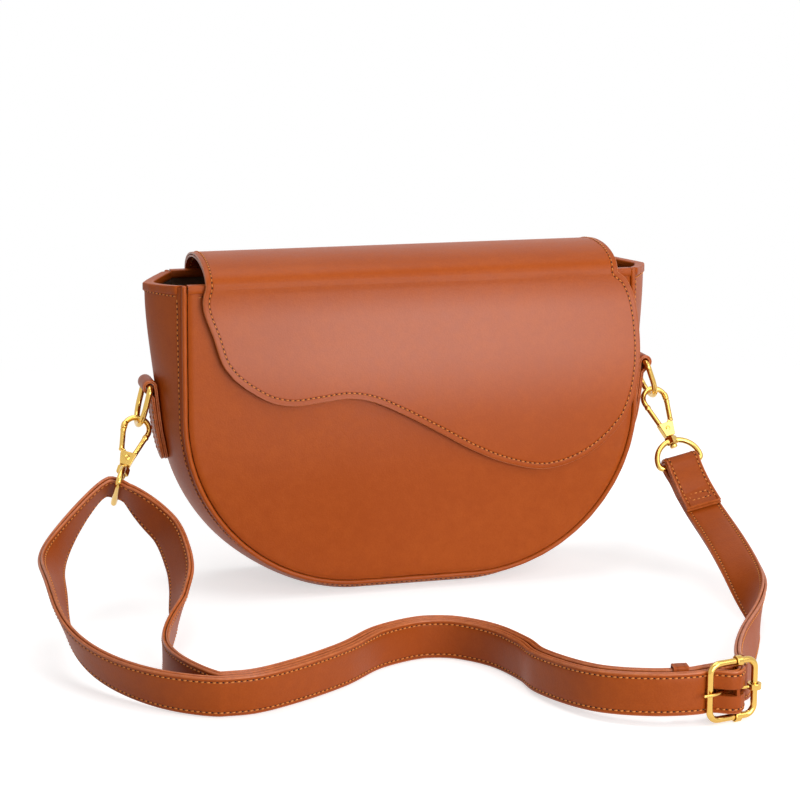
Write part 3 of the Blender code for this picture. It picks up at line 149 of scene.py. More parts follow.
LEFT_BRANCH = (
    (-0.724, -0.149, 0.186, -0.40, -0.75, 0.52),
    (-0.761, -0.212, 0.150, -0.49, -0.74, 0.47),
    (-0.780, -0.293, 0.139, -0.52, -0.70, 0.50),
    (-0.774, -0.364, 0.137, -0.48, -0.62, 0.62),
    (-0.779, -0.429, 0.126, -0.41, -0.47, 0.78),
    (-0.781, -0.490, 0.101, -0.33, -0.30, 0.89),
    (-0.761, -0.570, 0.069, -0.31, -0.15, 0.94),
    (-0.719, -0.645, 0.052, -0.32, -0.12, 0.94),
    (-0.669, -0.711, 0.045, -0.23, -0.18, 0.96),
    (-0.613, -0.775, 0.042, -0.12, -0.19, 0.97),
)
# The doubled run on the ground: place in shares of the reach, then the lean in degrees.
MIDDLE_RUN = (
    (-0.535, -0.788, 12), (-0.480, -0.788, 11), (-0.405, -0.757, 10), (-0.293, -0.686, 7),
    (-0.203, -0.604, 5), (-0.119, -0.568, 5), (-0.088, -0.568, 5), (-0.044, -0.584, 5), (0.014, -0.651, 5),
    (0.042, -0.750, 4), (0.048, -0.833, 4), (0.106, -0.966, 3), (0.188, -1.024, 1),
)

# Buckle and keeper.
BUCKLE_WIRE = 0.0017
BUCKLE_HALF_LENGTH = 0.0130
BUCKLE_HALF_HEIGHT = 0.0142
BUCKLE_CORNER = 0.0050
BUCKLE_TURN = math.radians(12)
BUCKLE_PLACE = (0.324, -1.050)
BUCKLE_RISE_LENGTH = 0.1500
BUCKLE_ENTRY_LENGTH = 0.0043
BAR_RADIUS = 0.0009
BAR_PLACE = 0.0030
BAR_TAIL = 0.0080
BAR_EYE_THICKNESS = 0.0008
BAR_EYE_LENGTH = 0.0032
FOLD_PLACES = ((-0.80, -0.255), (-0.50, -0.03), (-0.25, 0.21), (0.05, 0.285))
PRONG_RADIUS = 0.0008
PRONG_EYE_LENGTH = 0.0030
PRONG_PLACES = ((0.83, 0.0), (0.40, 0.0), (0.0, 0.0), (-0.25, 0.01), (-0.84, 1.0), (-1.0, 1.08), (-1.36, 1.0))
PRONG_SLOT_MARGIN = 0.0009
KEEPER_LENGTH = 0.0080
KEEPER_THICKNESS = 0.0009
KEEPER_CLEARANCE = 0.0008
KEEPER_SETBACK = 0.0098

# Sewing.
STITCH_PITCH = 0.0030
STITCH_LENGTH = 0.0020
STITCH_SLANT = 0.10
STITCH_UNEVENNESS = 0.05
THREAD_RADIUS = 0.00040
# Size and place of the flat near-black bead at each needle hole: painted shade, not a colour of the leather.
HOLE_SHADE_RADIUS = 0.00052
HOLE_SHADE_AHEAD = 0.00042
THREAD_LIFT = 0.00012
FLAP_INSET = 0.0034
GUSSET_INSET = 0.0042
STRAP_INSET = 0.0024
TAB_INSET = 0.0024
STITCH_GROOVE = 0.00014
FOLD_ROWS = (0.0047, 0.0100)
FOLD_ROW_SIDE_MARGIN = 0.0025

# Unevenness of the leather: heights of its slow waves, its gathers and its tuck at a seam.
PANEL_WAVES, PANEL_GATHERS, PANEL_TUCK = 0.0005, 0.0004, 0.0011
GUSSET_WAVES, GUSSET_GATHERS, GUSSET_TUCK = 0.0004, 0.0003, 0.0009
FLAP_WAVES, FLAP_SPRING = 0.0004, 0.0006
SHEET_EDGE_ROUNDNESS = 0.36
NO_MARGIN = 9.0

# Where the strap is free to even out: from each place on, and over what length it comes free.
SETTLE_LENGTH = 0.0170
LOOP_FREE = (-MIDDLE_RUN[0][0] * STRAP_REACH, 0.020)
HANGING_FREE = (0.105, 0.010)
LEFT_RING_FREE = (0.006, 0.012)
RIGHT_RING_FREE = (0.016, 0.020)
BUCKLE_FREE = (0.020, 0.025)

# Turned profiles of a gate rivet's head: radius, then height.
RIVET_HEAD = (
    (0.0, 0.0), (0.00045, 0.0), (0.00055, 0.00012), (0.00075, 0.00012), (0.00085, 0.0),
    (0.00125, 0.00004), (0.00145, 0.00015), (0.0015, 0.0003), (0.0015, 0.0004), (GATE_PIVOT_RADIUS, 0.0004),
)

# The hook frame's wire, by its stations from the block up: ribs on the left hook, collars on both.
HOOK_RIBS = range(8, 24)
HOOK_COLLARS = range(26, 29)
HOOK_NOSE_STATIONS = 5
RIB_RADII = (0.88, 1.02)
COLLAR_RADIUS = 1.20
GATE_COLLAR_RADIUS = 1.16

# Numbers of rows and columns of the finest meshes.
FINE = {"side_steps": 48, "corner_steps": 90, "base_steps": 40}
FLAP_COLS, FLAP_ROWS, FLAP_ARCH_ROWS = 190, 84, 56
RING_ARC_STEPS = 48

# Camera, and the lights with their place, size and power.
CAMERA_TURN, CAMERA_RISE, CAMERA_DISTANCE = math.radians(-14.69), math.radians(12.0), 1.35
CAMERA_TARGET = np.array((-0.0002, 0.0, 0.1062))
CAMERA_LENS = 102.375
LIGHT_TARGET = (0.0, -0.03, 0.09)
LIGHTS = {
    "key": ((0.85, -1.30, 1.30), (1.1, 0.9), 9.0),
    "front": ((0.40, -1.45, 0.36), (0.9, 0.60), 13.0),
    "top": ((-0.10, 0.05, 1.7), (1.3, 1.0), 12.0),
}
WHITE = (1.0, 1.0, 1.0, 1.0)

# Places worked out from the sizes.
UPWARD = np.array((0.0, 0.0, 1.0))
ARC_TOP = SEAM_HEIGHT + CORNER_RADIUS
SEAM_FLAT = WIDEST_HALF_WIDTH - CORNER_RADIUS
PANEL_TOP = RIM_HEIGHT - BINDING_THICKNESS - GAP
STRAIGHT_HEIGHT = RIM_HEIGHT - BINDING_THICKNESS - BINDING_DEPTH
FLAP_THICKNESS = FLAP_LINING + GAP + FLAP_OUTER
FLAP_REACH = abs(FLAP_LEFT[0][0]) * WIDEST_HALF_WIDTH
SEWN_STEP = BINDING_THICKNESS + FLAP_CLEARANCE
SEWN_BOTTOM = HINGE_HEIGHT - FLAP_SEWN_DEPTH
TAB_CURL_RADIUS = RING_WIRE + 2 * GAP + TAB_THICKNESS / 2
GATE_BORE = GATE_PIVOT_RADIUS + GAP
POST_BORE = POST_RADIUS + GAP
BOSS_TOP = HOOK_HEEL + GAP
BOSS_FOOT = BOSS_TOP + BOSS_LENGTH
STRAP_HALF = STRAP_THICKNESS / 2
LAYER_HALF_SPACING = (STRAP_THICKNESS + STRAP_LAYER_GAP) / 2
RING_WRAP_RADIUS = RING_WIRE + GAP + STRAP_HALF
BAR_WRAP_RADIUS = BAR_RADIUS + GAP + STRAP_HALF
BUCKLE_BORE = BUCKLE_WIRE + GAP
BAR_EYE_RADIUS = BUCKLE_BORE + BAR_EYE_THICKNESS
BAR_OUT = BAR_RADIUS - BAR_EYE_RADIUS
FRONT_LAYER_OUT = -(BUCKLE_BORE + STRAP_HALF)
REAR_LAYER_OUT = BAR_OUT - BAR_WRAP_RADIUS - STRAP_THICKNESS - KEEPER_THICKNESS - 2 * GAP
BUCKLE_ALONG = np.array((math.cos(BUCKLE_TURN), math.sin(BUCKLE_TURN), 0.0))
BUCKLE_FRONT = np.array((math.sin(BUCKLE_TURN), -math.cos(BUCKLE_TURN), 0.0))
BUCKLE_HEIGHT = BUCKLE_HALF_HEIGHT + BAR_EYE_RADIUS
BUCKLE_CENTRE = np.array([*(share * STRAP_REACH for share in BUCKLE_PLACE), BUCKLE_HEIGHT])
PRONG_SLOTS = (
    (-BUCKLE_HALF_LENGTH - BUCKLE_WIRE, -PRONG_SLOT_MARGIN, FRONT_LAYER_OUT - STRAP_HALF - GAP, 0.02),
    (PRONG_SLOT_MARGIN, BUCKLE_HALF_LENGTH, BAR_OUT, 0.02),
)


# Node trees.


class Link:
    """One output in a node tree. Arithmetic on it adds Math nodes."""

    def __init__(self, tree, socket):
        self.tree = tree
        self.socket = socket

    def out(self, name):
        return Link(self.tree, self.socket.node.outputs[name])

    def math(self, operation, *values, clamp=False):
        settings = {"operation": operation, "use_clamp": clamp}
        return self.tree.node("ShaderNodeMath", settings, dict(enumerate(values)))

    def __add__(self, other):
        return self.math("ADD", self, other)

    def __sub__(self, other):
        return self.math("SUBTRACT", self, other)

    def __rsub__(self, other):
        return self.math("SUBTRACT", other, self)

    def __mul__(self, other):
        return self.math("MULTIPLY", self, other)

    def __truediv__(self, other):
        return self.math("DIVIDE", self, other)

    def __rtruediv__(self, other):
        return self.math("DIVIDE", other, self)

    def __pow__(self, other):
        return self.math("POWER", self, other)

    def __abs__(self):
        return self.math("ABSOLUTE", self)

    def clamped(self):
        return self.math("ADD", self, 0.0, clamp=True)

    __radd__ = __add__
    __rmul__ = __mul__


class Tree:
    """A node tree with one method that adds any node."""

    def __init__(self, nodes):
        self.nodes = nodes

    def node(self, kind, settings=None, sockets=None, output=0):
        """Adds a node, sets it, then gives its sockets their values or links."""
        made = self.nodes.nodes.new(kind)
        for key, value in (settings or {}).items():
            if key == "stops":
                ramp = made.color_ramp
                for i, (place, colour) in enumerate(value):
                    stop = ramp.elements[i] if i < len(ramp.elements) else ramp.elements.new(place)
                    stop.position, stop.color = place, colour
            else:
                setattr(made, key, value)
        for key, value in (sockets or {}).items():
            if isinstance(value, Link):
                self.nodes.links.new(value.socket, made.inputs[key])
            else:
                made.inputs[key].default_value = value
        return Link(self, made.outputs[output]) if len(made.outputs) else made


class Finish(Tree):
    """A material and its Principled shader."""

    def __init__(self, name):
        self.material = bpy.data.materials.new(name)
        self.material.use_nodes = True
        super().__init__(self.material.node_tree)
        self.shader = self.nodes.nodes["Principled BSDF"]
        self.place = self.node("ShaderNodeTexCoord", output="Object")

    def noise(self, scale, detail=3.0, rough=0.5, stretch=None):
        where = self.place
        if stretch:
            where = self.node("ShaderNodeMapping", sockets={"Vector": where, "Scale": stretch})
        sockets = {"Vector": where, "Scale": scale, "Detail": detail, "Roughness": rough}
        return self.node("ShaderNodeTexNoise", sockets=sockets)

    def ramp(self, value, low, high):
        """0 below the low value, 1 above the high one, smooth between."""
        sockets = {"Value": value, "From Min": low, "From Max": high}
        return self.node("ShaderNodeMapRange", {"interpolation_type": "SMOOTHSTEP"}, sockets)

    def blend(self, factor, a, b):
        return self.node("ShaderNodeMix", {"data_type": "RGBA"}, {0: factor, 6: a, 7: b}, output=2)

    def bump(self, height, distance, strength):
        sockets = {"Height": height, "Distance": distance, "Strength": strength}
        return self.node("ShaderNodeBump", sockets=sockets)

    def done(self, **sockets):
        for key, value in sockets.items():
            socket = self.shader.inputs[key.replace("_", " ")]
            if isinstance(value, Link):
                self.nodes.links.new(value.socket, socket)
            else:
                socket.default_value = value
        return self.material


def opaque(colour, share=1.0):
    return (*[c * share for c in colour], 1.0)


def leather_finish(name, deep, light, rough=0.40, grain=1.0, polished=None):
    """Smooth leather: a fine pebble grain, slightly uneven dye, and a pressed line under the stitches,
    darkened there partly as dirt and partly as painted shade.

    Polished gives the heights where a sheen rises, is full, falls and ends."""
    f = Finish(name)
    clouds = f.noise(14.0, 2.0)
    mottle = f.noise(170.0, 4.0, 0.6)
    sway = f.noise(700.0, 2.0).out("Color")
    warp = f.node("ShaderNodeVectorMath", {"operation": "SCALE"}, {0: sway, "Scale": 0.0006})
    where = f.node("ShaderNodeVectorMath", {"operation": "ADD"}, {0: f.place, 1: warp})
    pebble = f.node("ShaderNodeTexVoronoi", sockets={"Vector": where, "Scale": 1050.0}, output="Distance")
    pores = f.noise(2600.0, 2.0, 0.6)
    margin = f.node("ShaderNodeAttribute", {"attribute_name": "margin"}, output="Fac")
    channel = (1 - abs(margin - 1.0) / 0.32).clamped() ** 1.6
    edge = 1 - f.ramp(margin, 0.05, 0.5)
    tone = (clouds * 0.45 + mottle * 0.45 - pebble * 0.14).clamped()
    colour = f.blend(f.ramp(tone, 0.22, 0.62), opaque(deep), opaque(light))
    # Darker along the stitch channel, partly dirt and partly painted shade in the pressed groove; darker also
    # at the burnished cut edges.
    colour = f.blend((channel * 0.30 + edge * 0.16).clamped(), colour, opaque(deep, 0.42))
    roughness = (rough + (mottle - 0.5) * 0.14 + pebble * 0.06 + channel * 0.1).clamped()
    height = 0.0 - pebble * (0.55 * grain) - pores * (0.22 * grain) + mottle * 0.4
    soft = f.bump(height, 0.00012, 0.5)
    sockets = {"Height": 0.0 - channel, "Distance": 0.00035, "Strength": 1.0, "Normal": soft}
    pressed = f.node("ShaderNodeBump", sockets=sockets)
    f.done(Base_Color=colour, Roughness=roughness, Normal=pressed)
    f.done(Specular_IOR_Level=0.19, Coat_Roughness=0.42)
    if polished:
        height = f.node("ShaderNodeSeparateXYZ", sockets={0: f.place}, output="Z")
        rise, full, fall, end = polished
        f.done(Coat_Weight=f.ramp(height, rise, full) * (1 - f.ramp(height, fall, end)) * 0.60)
    return f.material


def edge_finish(name, deep, light):
    """Painted and burnished edge."""
    f = Finish(name)
    streak = f.noise(260.0, 3.0, 0.6)
    fine = f.noise(1500.0, 2.0)
    colour = f.blend(f.ramp(streak, 0.3, 0.7), opaque(deep), opaque(light))
    height = streak * 0.7 + fine * 0.3
    roughness = (0.30 + fine * 0.16).clamped()
    return f.done(Base_Color=colour, Roughness=roughness, Normal=f.bump(height, 0.00015, 0.5))


def gold_finish(name, colour, rough):
    """Polished plating with fine haze and hairlines."""
    f = Finish(name)
    haze = f.noise(120.0, 3.0)
    hairs = f.noise(900.0, 2.0, 0.5, stretch=(1.0, 1.0, 0.15))
    tint = f.blend(f.ramp(haze, 0.35, 0.7), opaque(colour, 0.92), opaque(colour))
    roughness = (rough + (haze - 0.5) * 0.10 + (hairs - 0.5) * 0.08).clamped()
    return f.done(Base_Color=tint, Roughness=roughness, Metallic=1.0, Normal=f.bump(hairs, 0.00002, 0.35))


def cloth_finish(name, colour):
    """Plain woven lining: two sets of threads crossing."""
    f = Finish(name)
    split = f.node("ShaderNodeSeparateXYZ", sockets={0: f.place})
    side = split + split.out("Y")
    over = (side * 5200.0).math("SINE", side * 5200.0)
    up = split.out("Z")
    across = up.math("SINE", up * 5200.0)
    weave = over * across * 0.5 + 0.5
    tone = f.noise(60.0, 3.0) * 0.5 + weave * 0.5
    tint = f.blend(f.ramp(tone, 0.25, 0.75), opaque(colour, 0.6), opaque(colour))
    return f.done(Base_Color=tint, Roughness=0.85, Normal=f.bump(weave, 0.00015, 0.6), Sheen_Weight=0.2)


def plain_finish(name, deep, light, rough, scale, metallic=0.0):
    """Board, steel, thread and the painted shade of needle holes: a tone that varies at one scale."""
    f = Finish(name)
    tone = f.noise(scale, 4.0, 0.6)
    fine = f.noise(scale * 6, 2.0)
    tint = f.blend(f.ramp(tone, 0.3, 0.7), opaque(deep), opaque(light))
    roughness = (rough + (fine - 0.5) * 0.15).clamped()
    return f.done(Base_Color=tint, Roughness=roughness, Metallic=metallic, Normal=f.bump(fine, 0.0001, 0.5))


# Meshes.


def unit(v):
    """The direction of a vector."""
    v = np.array(v, float)
    return v / np.linalg.norm(v)


def mix(a, b, share):
    return a * (1 - share) + b * share


def ease(share):
    """0 to 1 with a soft start and a soft end."""
    share = min(max(share, 0.0), 1.0)
    return share * share * (3 - 2 * share)


def tangents(points, closed=False):
    """Unit directions along a line, halving each bend."""
    points = np.array(points, float)
    steps = np.diff(np.vstack([points, points[:1]]) if closed else points, axis=0)
    steps = steps / np.linalg.norm(steps, axis=1)[:, None]
    if closed:
        sums = steps + np.roll(steps, 1, axis=0)
    else:
        sums = np.vstack([steps[:1], steps[1:] + steps[:-1], steps[-1:]])
    return sums / np.linalg.norm(sums, axis=1)[:, None]


def walked(points):
    """Distance gone along a line at each of its points."""
    return np.concatenate([[0.0], np.cumsum(np.linalg.norm(np.diff(np.array(points), axis=0), axis=1))])


def smooth_line(points, step):
    """A curve through the given points, cut into stretches of about the given step."""
    points = [np.array(p, float) for p in points]
    points = [2 * points[0] - points[1], *points, 2 * points[-1] - points[-2]]
    line = []
    for p0, p1, p2, p3 in zip(points, points[1:], points[2:], points[3:]):
        pieces = max(1, round(np.linalg.norm((p2 - p1)[:3]) / step))
        knots = [0.0]
        for a, b in ((p0, p1), (p1, p2), (p2, p3)):
            knots.append(knots[-1] + max(np.linalg.norm((b - a)[:3]), GAP) ** 0.5)
        k0, k1, k2, k3 = knots
        for k in range(pieces):
            t = k1 + (k2 - k1) * k / pieces
            a1 = mix(p0, p1, (t - k0) / (k1 - k0))
            a2 = mix(p1, p2, (t - k1) / (k2 - k1))
            a3 = mix(p2, p3, (t - k2) / (k3 - k2))
            b1 = mix(a1, a2, (t - k0) / (k2 - k0))
            b2 = mix(a2, a3, (t - k1) / (k3 - k1))
            line.append(mix(b1, b2, (t - k1) / (k2 - k1)))
    return line + [points[-2]]


def linked(name, data):
    """A new object in the scene."""
    obj = bpy.data.objects.new(name, data)
    bpy.context.scene.collection.objects.link(obj)
    return obj


def new_piece(name, points, faces, looks, slots=None, margin=None, sharp=38):
    """A closed mesh at the origin, its faces turned outward, with its finishes in order."""
    mesh = bpy.data.meshes.new(name)
    mesh.from_pydata([tuple(map(float, p)) for p in points], [], faces)
    if slots is not None:
        mesh.polygons.foreach_set("material_index", slots)
    work = bmesh.new()
    work.from_mesh(mesh)
    bmesh.ops.recalc_face_normals(work, faces=work.faces)
    work.to_mesh(mesh)
    work.free()
    values = np.full(len(points), NO_MARGIN)
    if margin is not None:
        values = np.minimum(np.array(margin, float), NO_MARGIN)
    mesh.attributes.new("margin", "FLOAT", "POINT").data.foreach_set("value", values.astype(np.float32))
    mesh.shade_smooth()
    mesh.set_sharp_from_angle(angle=math.radians(sharp))
    for look in looks:
        mesh.materials.append(look)
    return linked(name, mesh)


def sewn_sheet(name, outer, inner, looks, margin=None, rings=5):
    """A closed sheet between two point grids with a rounded edge. Looks: outer face, inner face, edge."""
    outer, inner = np.array(outer, float), np.array(inner, float)
    rows, cols = outer.shape[:2]
    border = [(0, k) for k in range(cols)] + [(i, cols - 1) for i in range(1, rows)]
    border += [(rows - 1, k) for k in range(cols - 2, -1, -1)] + [(i, 0) for i in range(rows - 2, 0, -1)]
    fresh_outer, fresh_inner = outer.copy(), inner.copy()
    edges = []
    for r, c in border:
        inside = outer[min(max(r, 1), rows - 2), min(max(c, 1), cols - 2)]
        o, i = outer[r, c], inner[r, c]
        n = unit(o - i)
        away = o - inside
        away = unit(away - n * away.dot(n))
        depth = np.linalg.norm(o - i) * SHEET_EDGE_ROUNDNESS
        fresh_outer[r, c] = o - away * depth
        fresh_inner[r, c] = i - away * depth
        middle = (o + i) / 2 - away * depth
        turns = [math.pi * (k + 1) / (rings + 1) for k in range(rings)]
        edges.append([middle + (o - i) / 2 * math.cos(t) + away * depth * math.sin(t) for t in turns])
    half = rows * cols
    points = list(fresh_outer.reshape(-1, 3)) + list(fresh_inner.reshape(-1, 3))
    for edge in edges:
        points += edge
    faces, slots = [], []
    for i in range(rows - 1):
        for k in range(cols - 1):
            a = i * cols + k
            faces.append((a, a + 1, a + cols + 1, a + cols))
            faces.append((half + a, half + a + cols, half + a + cols + 1, half + a + 1))
            slots += [0, 1]
    count = len(border)

    def edge_row(e):
        first = border[e][0] * cols + border[e][1]
        return [first] + [2 * half + e * rings + k for k in range(rings)] + [half + first]

    for e in range(count):
        row_a, row_b = edge_row(e), edge_row((e + 1) % count)
        for k in range(rings + 1):
            faces.append((row_a[k], row_a[k + 1], row_b[k + 1], row_b[k]))
            slots.append(2)
    margins = None
    if margin is not None:
        flat = np.array(margin, float).reshape(-1)
        margins = np.concatenate([flat, flat, np.zeros(count * rings)])
    return new_piece(name, points, faces, looks, slots, margins)


def wire_sections(points, radius, sides=20, closed=False, ends=None):
    """Round sections along a line, turned as little as the line allows. Ends rounds the line's ends over."""
    points = np.array(points, float)
    lines = tangents(points, closed)
    radii = [radius] * len(points) if np.isscalar(radius) else list(radius)
    if ends:
        turns = [math.pi / 2 * k / 5 for k in range(5)]
        shares = [max(math.sin(t), 0.08) for t in turns]
        first = [points[0] - lines[0] * radii[0] * math.cos(t) * ends for t in turns]
        last = [points[-1] + lines[-1] * radii[-1] * math.cos(t) * ends for t in turns[::-1]]
        points = np.vstack([first, points, last])
        radii = [radii[0] * s for s in shares] + radii + [radii[-1] * s for s in shares[::-1]]
        lines = np.vstack([[lines[0]] * 5, lines, [lines[-1]] * 5])
    start = np.cross(lines[0], (0.0, 0.0, 1.0))
    if np.linalg.norm(start) < 0.1:
        start = np.cross(lines[0], (0.0, 1.0, 0.0))
    across = unit(start)
    frames = []
    for line in lines:
        across = unit(across - line * across.dot(line))
        frames.append((across, np.cross(line, across)))
    slip = 0.0
    if closed:
        last = unit(frames[-1][0] - lines[0] * frames[-1][0].dot(lines[0]))
        slip = math.atan2(last.dot(frames[0][1]), last.dot(frames[0][0]))
    sections = []
    for i, (point, (a, b), r) in enumerate(zip(points, frames, radii)):
        turn = -slip * i / len(points)
        angles = [turn + math.tau * k / sides for k in range(sides)]
        sections.append([point + r * (a * math.cos(t) + b * math.sin(t)) for t in angles])
    return sections


def skin(sections, closed=False):
    """Points and faces of a row of like sections, with flat caps unless the row closes on itself."""
    count, rows = len(sections[0]), len(sections)
    points = [p for section in sections for p in section]
    faces = []
    for i in range(rows if closed else rows - 1):
        a, b = i * count, (i + 1) % rows * count
        for k in range(count):
            m = (k + 1) % count
            faces.append((a + k, a + m, b + m, b + k))
    if not closed:
        faces.append(tuple(range(count)))
        faces.append(tuple((rows - 1) * count + k for k in range(count)))
    return points, faces


def wire(name, points, radius, look, closed=False, sides=20, ends=None):
    return new_piece(name, *skin(wire_sections(points, radius, sides, closed, ends), closed), [look])


def turned(centre, axis, profile, sides=32):
    """Points and faces of a turned shape: the profile is (radius, place along the axis)."""
    axis = unit(axis)
    side = unit(np.cross(axis, (0.0, 1.0, 0.0) if abs(axis[1]) < 0.8 else (1.0, 0.0, 0.0)))
    other = np.cross(axis, side)
    sections = []
    for radius, along in profile:
        base = np.array(centre) + axis * along
        radius = max(radius, 1e-6)
        angles = [math.tau * k / sides for k in range(sides)]
        sections.append([base + radius * (side * math.cos(t) + other * math.sin(t)) for t in angles])
    return skin(sections)


def barrel(centre, axis, radius, half, sides=28):
    return turned(centre, axis, [(radius, -half), (radius, half)], sides)


def prism(corners, axis, half):
    """Points and faces of a flat plate: its corners, then half its thickness along the axis."""
    corners = np.array(corners)
    return skin([list(corners - axis * half), list(corners + axis * half)])


def joined(solids):
    """Points and faces of several solids as one list."""
    points, faces = [], []
    for more, ring in solids:
        start = len(points)
        points += list(more)
        faces += [tuple(start + i for i in face) for face in ring]
    return points, faces


def baked(obj):
    """Replaces the object's mesh by what its modifiers make, and removes them."""
    graph = bpy.context.evaluated_depsgraph_get()
    mesh = bpy.data.meshes.new_from_object(obj.evaluated_get(graph))
    obj.modifiers.clear()
    obj.data = mesh
    return obj


def cut(obj, points, faces):
    """Takes a solid away from a piece."""
    cutter = new_piece("cutter", points, faces, [obj.data.materials[0]])
    modifier = obj.modifiers.new("cut", "BOOLEAN")
    modifier.operation = "DIFFERENCE"
    modifier.solver = "EXACT"
    modifier.object = cutter
    baked(obj)
    bpy.data.objects.remove(cutter, do_unlink=True)
    obj.data.shade_smooth()
    obj.data.set_sharp_from_angle(angle=math.radians(38))


def cast(name, solids, cuts, look, voxel=0.0002, rounding=3):
    """Overlapping solids fused into one, cut, then softened as a polished casting is."""
    obj = new_piece(name, *joined(solids), [look])
    for step in ("fuse", "soften"):
        remesh = obj.modifiers.new(step, "REMESH")
        remesh.mode = "VOXEL"
        remesh.voxel_size = voxel
        remesh.use_smooth_shade = True
        if step == "soften":
            smooth = obj.modifiers.new("polish", "SMOOTH")
            smooth.factor, smooth.iterations = 0.5, rounding
        baked(obj)
        if step == "fuse":
            if not cuts:
                obj.modifiers.clear()
            for solid in cuts:
                cut(obj, *solid)
    obj.data.materials.clear()
    obj.data.materials.append(look)
    obj.data.shade_smooth()
    margins = np.full(len(obj.data.vertices), NO_MARGIN, np.float32)
    obj.data.attributes.new("margin", "FLOAT", "POINT").data.foreach_set("value", margins)
    return obj


# Form of the body.


def half_width(z, inset=0.0):
    """Half the width of the panels at a height, less an inset from the seam."""
    if z >= ARC_TOP:
        return mix(WIDEST_HALF_WIDTH, RIM_HALF_WIDTH, (z - ARC_TOP) / (RIM_HEIGHT - ARC_TOP)) - inset
    radius = CORNER_RADIUS - inset
    drop = min(ARC_TOP - z, radius)
    return SEAM_FLAT + math.sqrt(radius * radius - drop * drop)


def half_depth(z):
    share = ease((STRAIGHT_HEIGHT - z) / (STRAIGHT_HEIGHT - FULL_DEPTH_HEIGHT))
    return mix(RIM_HALF_DEPTH, BASE_HALF_DEPTH, share)


def crown(x, z):
    """How far a panel stands out past its seam, fullest at its middle."""
    height = min(max((z - SEAM_HEIGHT) / (STRAIGHT_HEIGHT - SEAM_HEIGHT), 0.0), 1.0)
    across = min(abs(x) / half_width(max(z, SEAM_HEIGHT)), 1.0)
    return PANEL_CROWN * 4 * height * (1 - height) * (1 - across * across)


def seam_distance(x, z):
    """How far a place on a panel is from the seam, and how far round the seam it is."""
    if z >= ARC_TOP:
        return half_width(z) - abs(x), SEAM_FLAT + CORNER_RADIUS * math.pi / 2 + z - ARC_TOP
    out = abs(x) - SEAM_FLAT
    if out <= 0:
        return z - SEAM_HEIGHT, abs(x)
    down = ARC_TOP - z
    return CORNER_RADIUS - math.hypot(out, down), SEAM_FLAT + CORNER_RADIUS * math.atan2(out, down)


def unevenness(a, b):
    """Slow, slight waves of hand-worked leather, from 0 to 1."""
    waves = ((61, 37, 0.4), (23, -71, 2.1), (103, 19, 4.0))
    return 0.5 + sum(math.sin(a * along + b * up + phase) for along, up, phase in waves) / 6


def puckers(along, margin, pitch=0.0105):
    """Fine gathers where a curved seam draws the leather in."""
    ripple = 0.5 + 0.5 * math.sin(along / pitch * math.tau + 1.7 * math.sin(along * 97))
    return ripple * math.exp(-max(margin, 0.0) / 0.0065)


def panel_relief(x, z):
    """How far the leather stands off its plain form: drawn in at the seam, slightly gathered and uneven."""
    margin, along = seam_distance(x, z)
    tuck = 1 - ease(margin / 0.0045)
    curved = ease((ARC_TOP + 0.01 - z) / 0.03)
    gathers = PANEL_GATHERS * curved * puckers(along, margin)
    return PANEL_WAVES * unevenness(x, z) + gathers - PANEL_TUCK * tuck


def panel_rows(top, corner_steps, side_steps, inset):
    bottom = SEAM_HEIGHT + inset
    turns = [math.pi / 2 * k / corner_steps for k in range(corner_steps)]
    levels = [ARC_TOP - (CORNER_RADIUS - inset) * math.cos(turn) for turn in turns]
    levels = [z for z in levels if z > bottom + GAP]
    levels += [mix(ARC_TOP, STRAIGHT_HEIGHT, k / side_steps) for k in range(side_steps + 1)]
    return [bottom] + [z for z in levels if z < top - GAP] + [top]


def panel_grid(side, depth_inset, inset, relief=0.0, corner_steps=44, side_steps=36, cols=140):
    """Rows of places over a panel, as far inward as the depth inset says."""
    grid = []
    for z in panel_rows(PANEL_TOP, corner_steps, side_steps, inset):
        reach = half_width(z, inset)
        row = []
        for k in range(cols + 1):
            # Columns crowd toward the seam, where the leather turns in.
            u = 2 * k / cols - 1
            x = reach * (0.55 * math.sin(u * math.pi / 2) + 0.45 * u)
            out = half_depth(z) + crown(x, z) - depth_inset
            row.append((x, side * (out + relief * panel_relief(x, z)), z))
        grid.append(row)
    return grid


def seam_stations(top, side_steps=5, corner_steps=8, base_steps=3):
    """Along the seam, rim to rim: x, z, the outward direction, and how far the corner has turned."""
    right = []
    for z in [top] + [mix(STRAIGHT_HEIGHT, ARC_TOP, k / side_steps) for k in range(side_steps)]:
        if z <= top:
            right.append((half_width(z), z, 1.0, 0.0, 0.0))
    for k in range(corner_steps + 1):
        turn = math.pi / 2 * k / corner_steps
        c, s = math.cos(turn), math.sin(turn)
        right.append((SEAM_FLAT + CORNER_RADIUS * c, ARC_TOP - CORNER_RADIUS * s, c, -s, k / corner_steps))
    base = [(SEAM_FLAT * (1 - 2 * k / base_steps), SEAM_HEIGHT, 0.0, -1.0, 1.0) for k in range(1, base_steps)]
    left = [(-x, z, -nx, nz, turn) for x, z, nx, nz, turn in right]
    return left + base[::-1] + right[::-1]


def bulge(z, turn, depth_share):
    """How far the gusset stands out past its seams at a share of its half depth."""
    pinch = ease((z - PINCH_HEIGHT) / (STRAIGHT_HEIGHT - PINCH_HEIGHT))
    height = mix(mix(SIDE_BULGE, RIM_BULGE, pinch), SEAM_HEIGHT, ease(turn))
    flat = BASE_FLAT_HALF_DEPTH / half_depth(z) * ease((turn - 0.55) / 0.45)
    power = mix(2.0, 1.35, pinch)
    away = max(abs(depth_share) - flat, 0.0) / (1 - flat)
    return height * (1 - away**power)


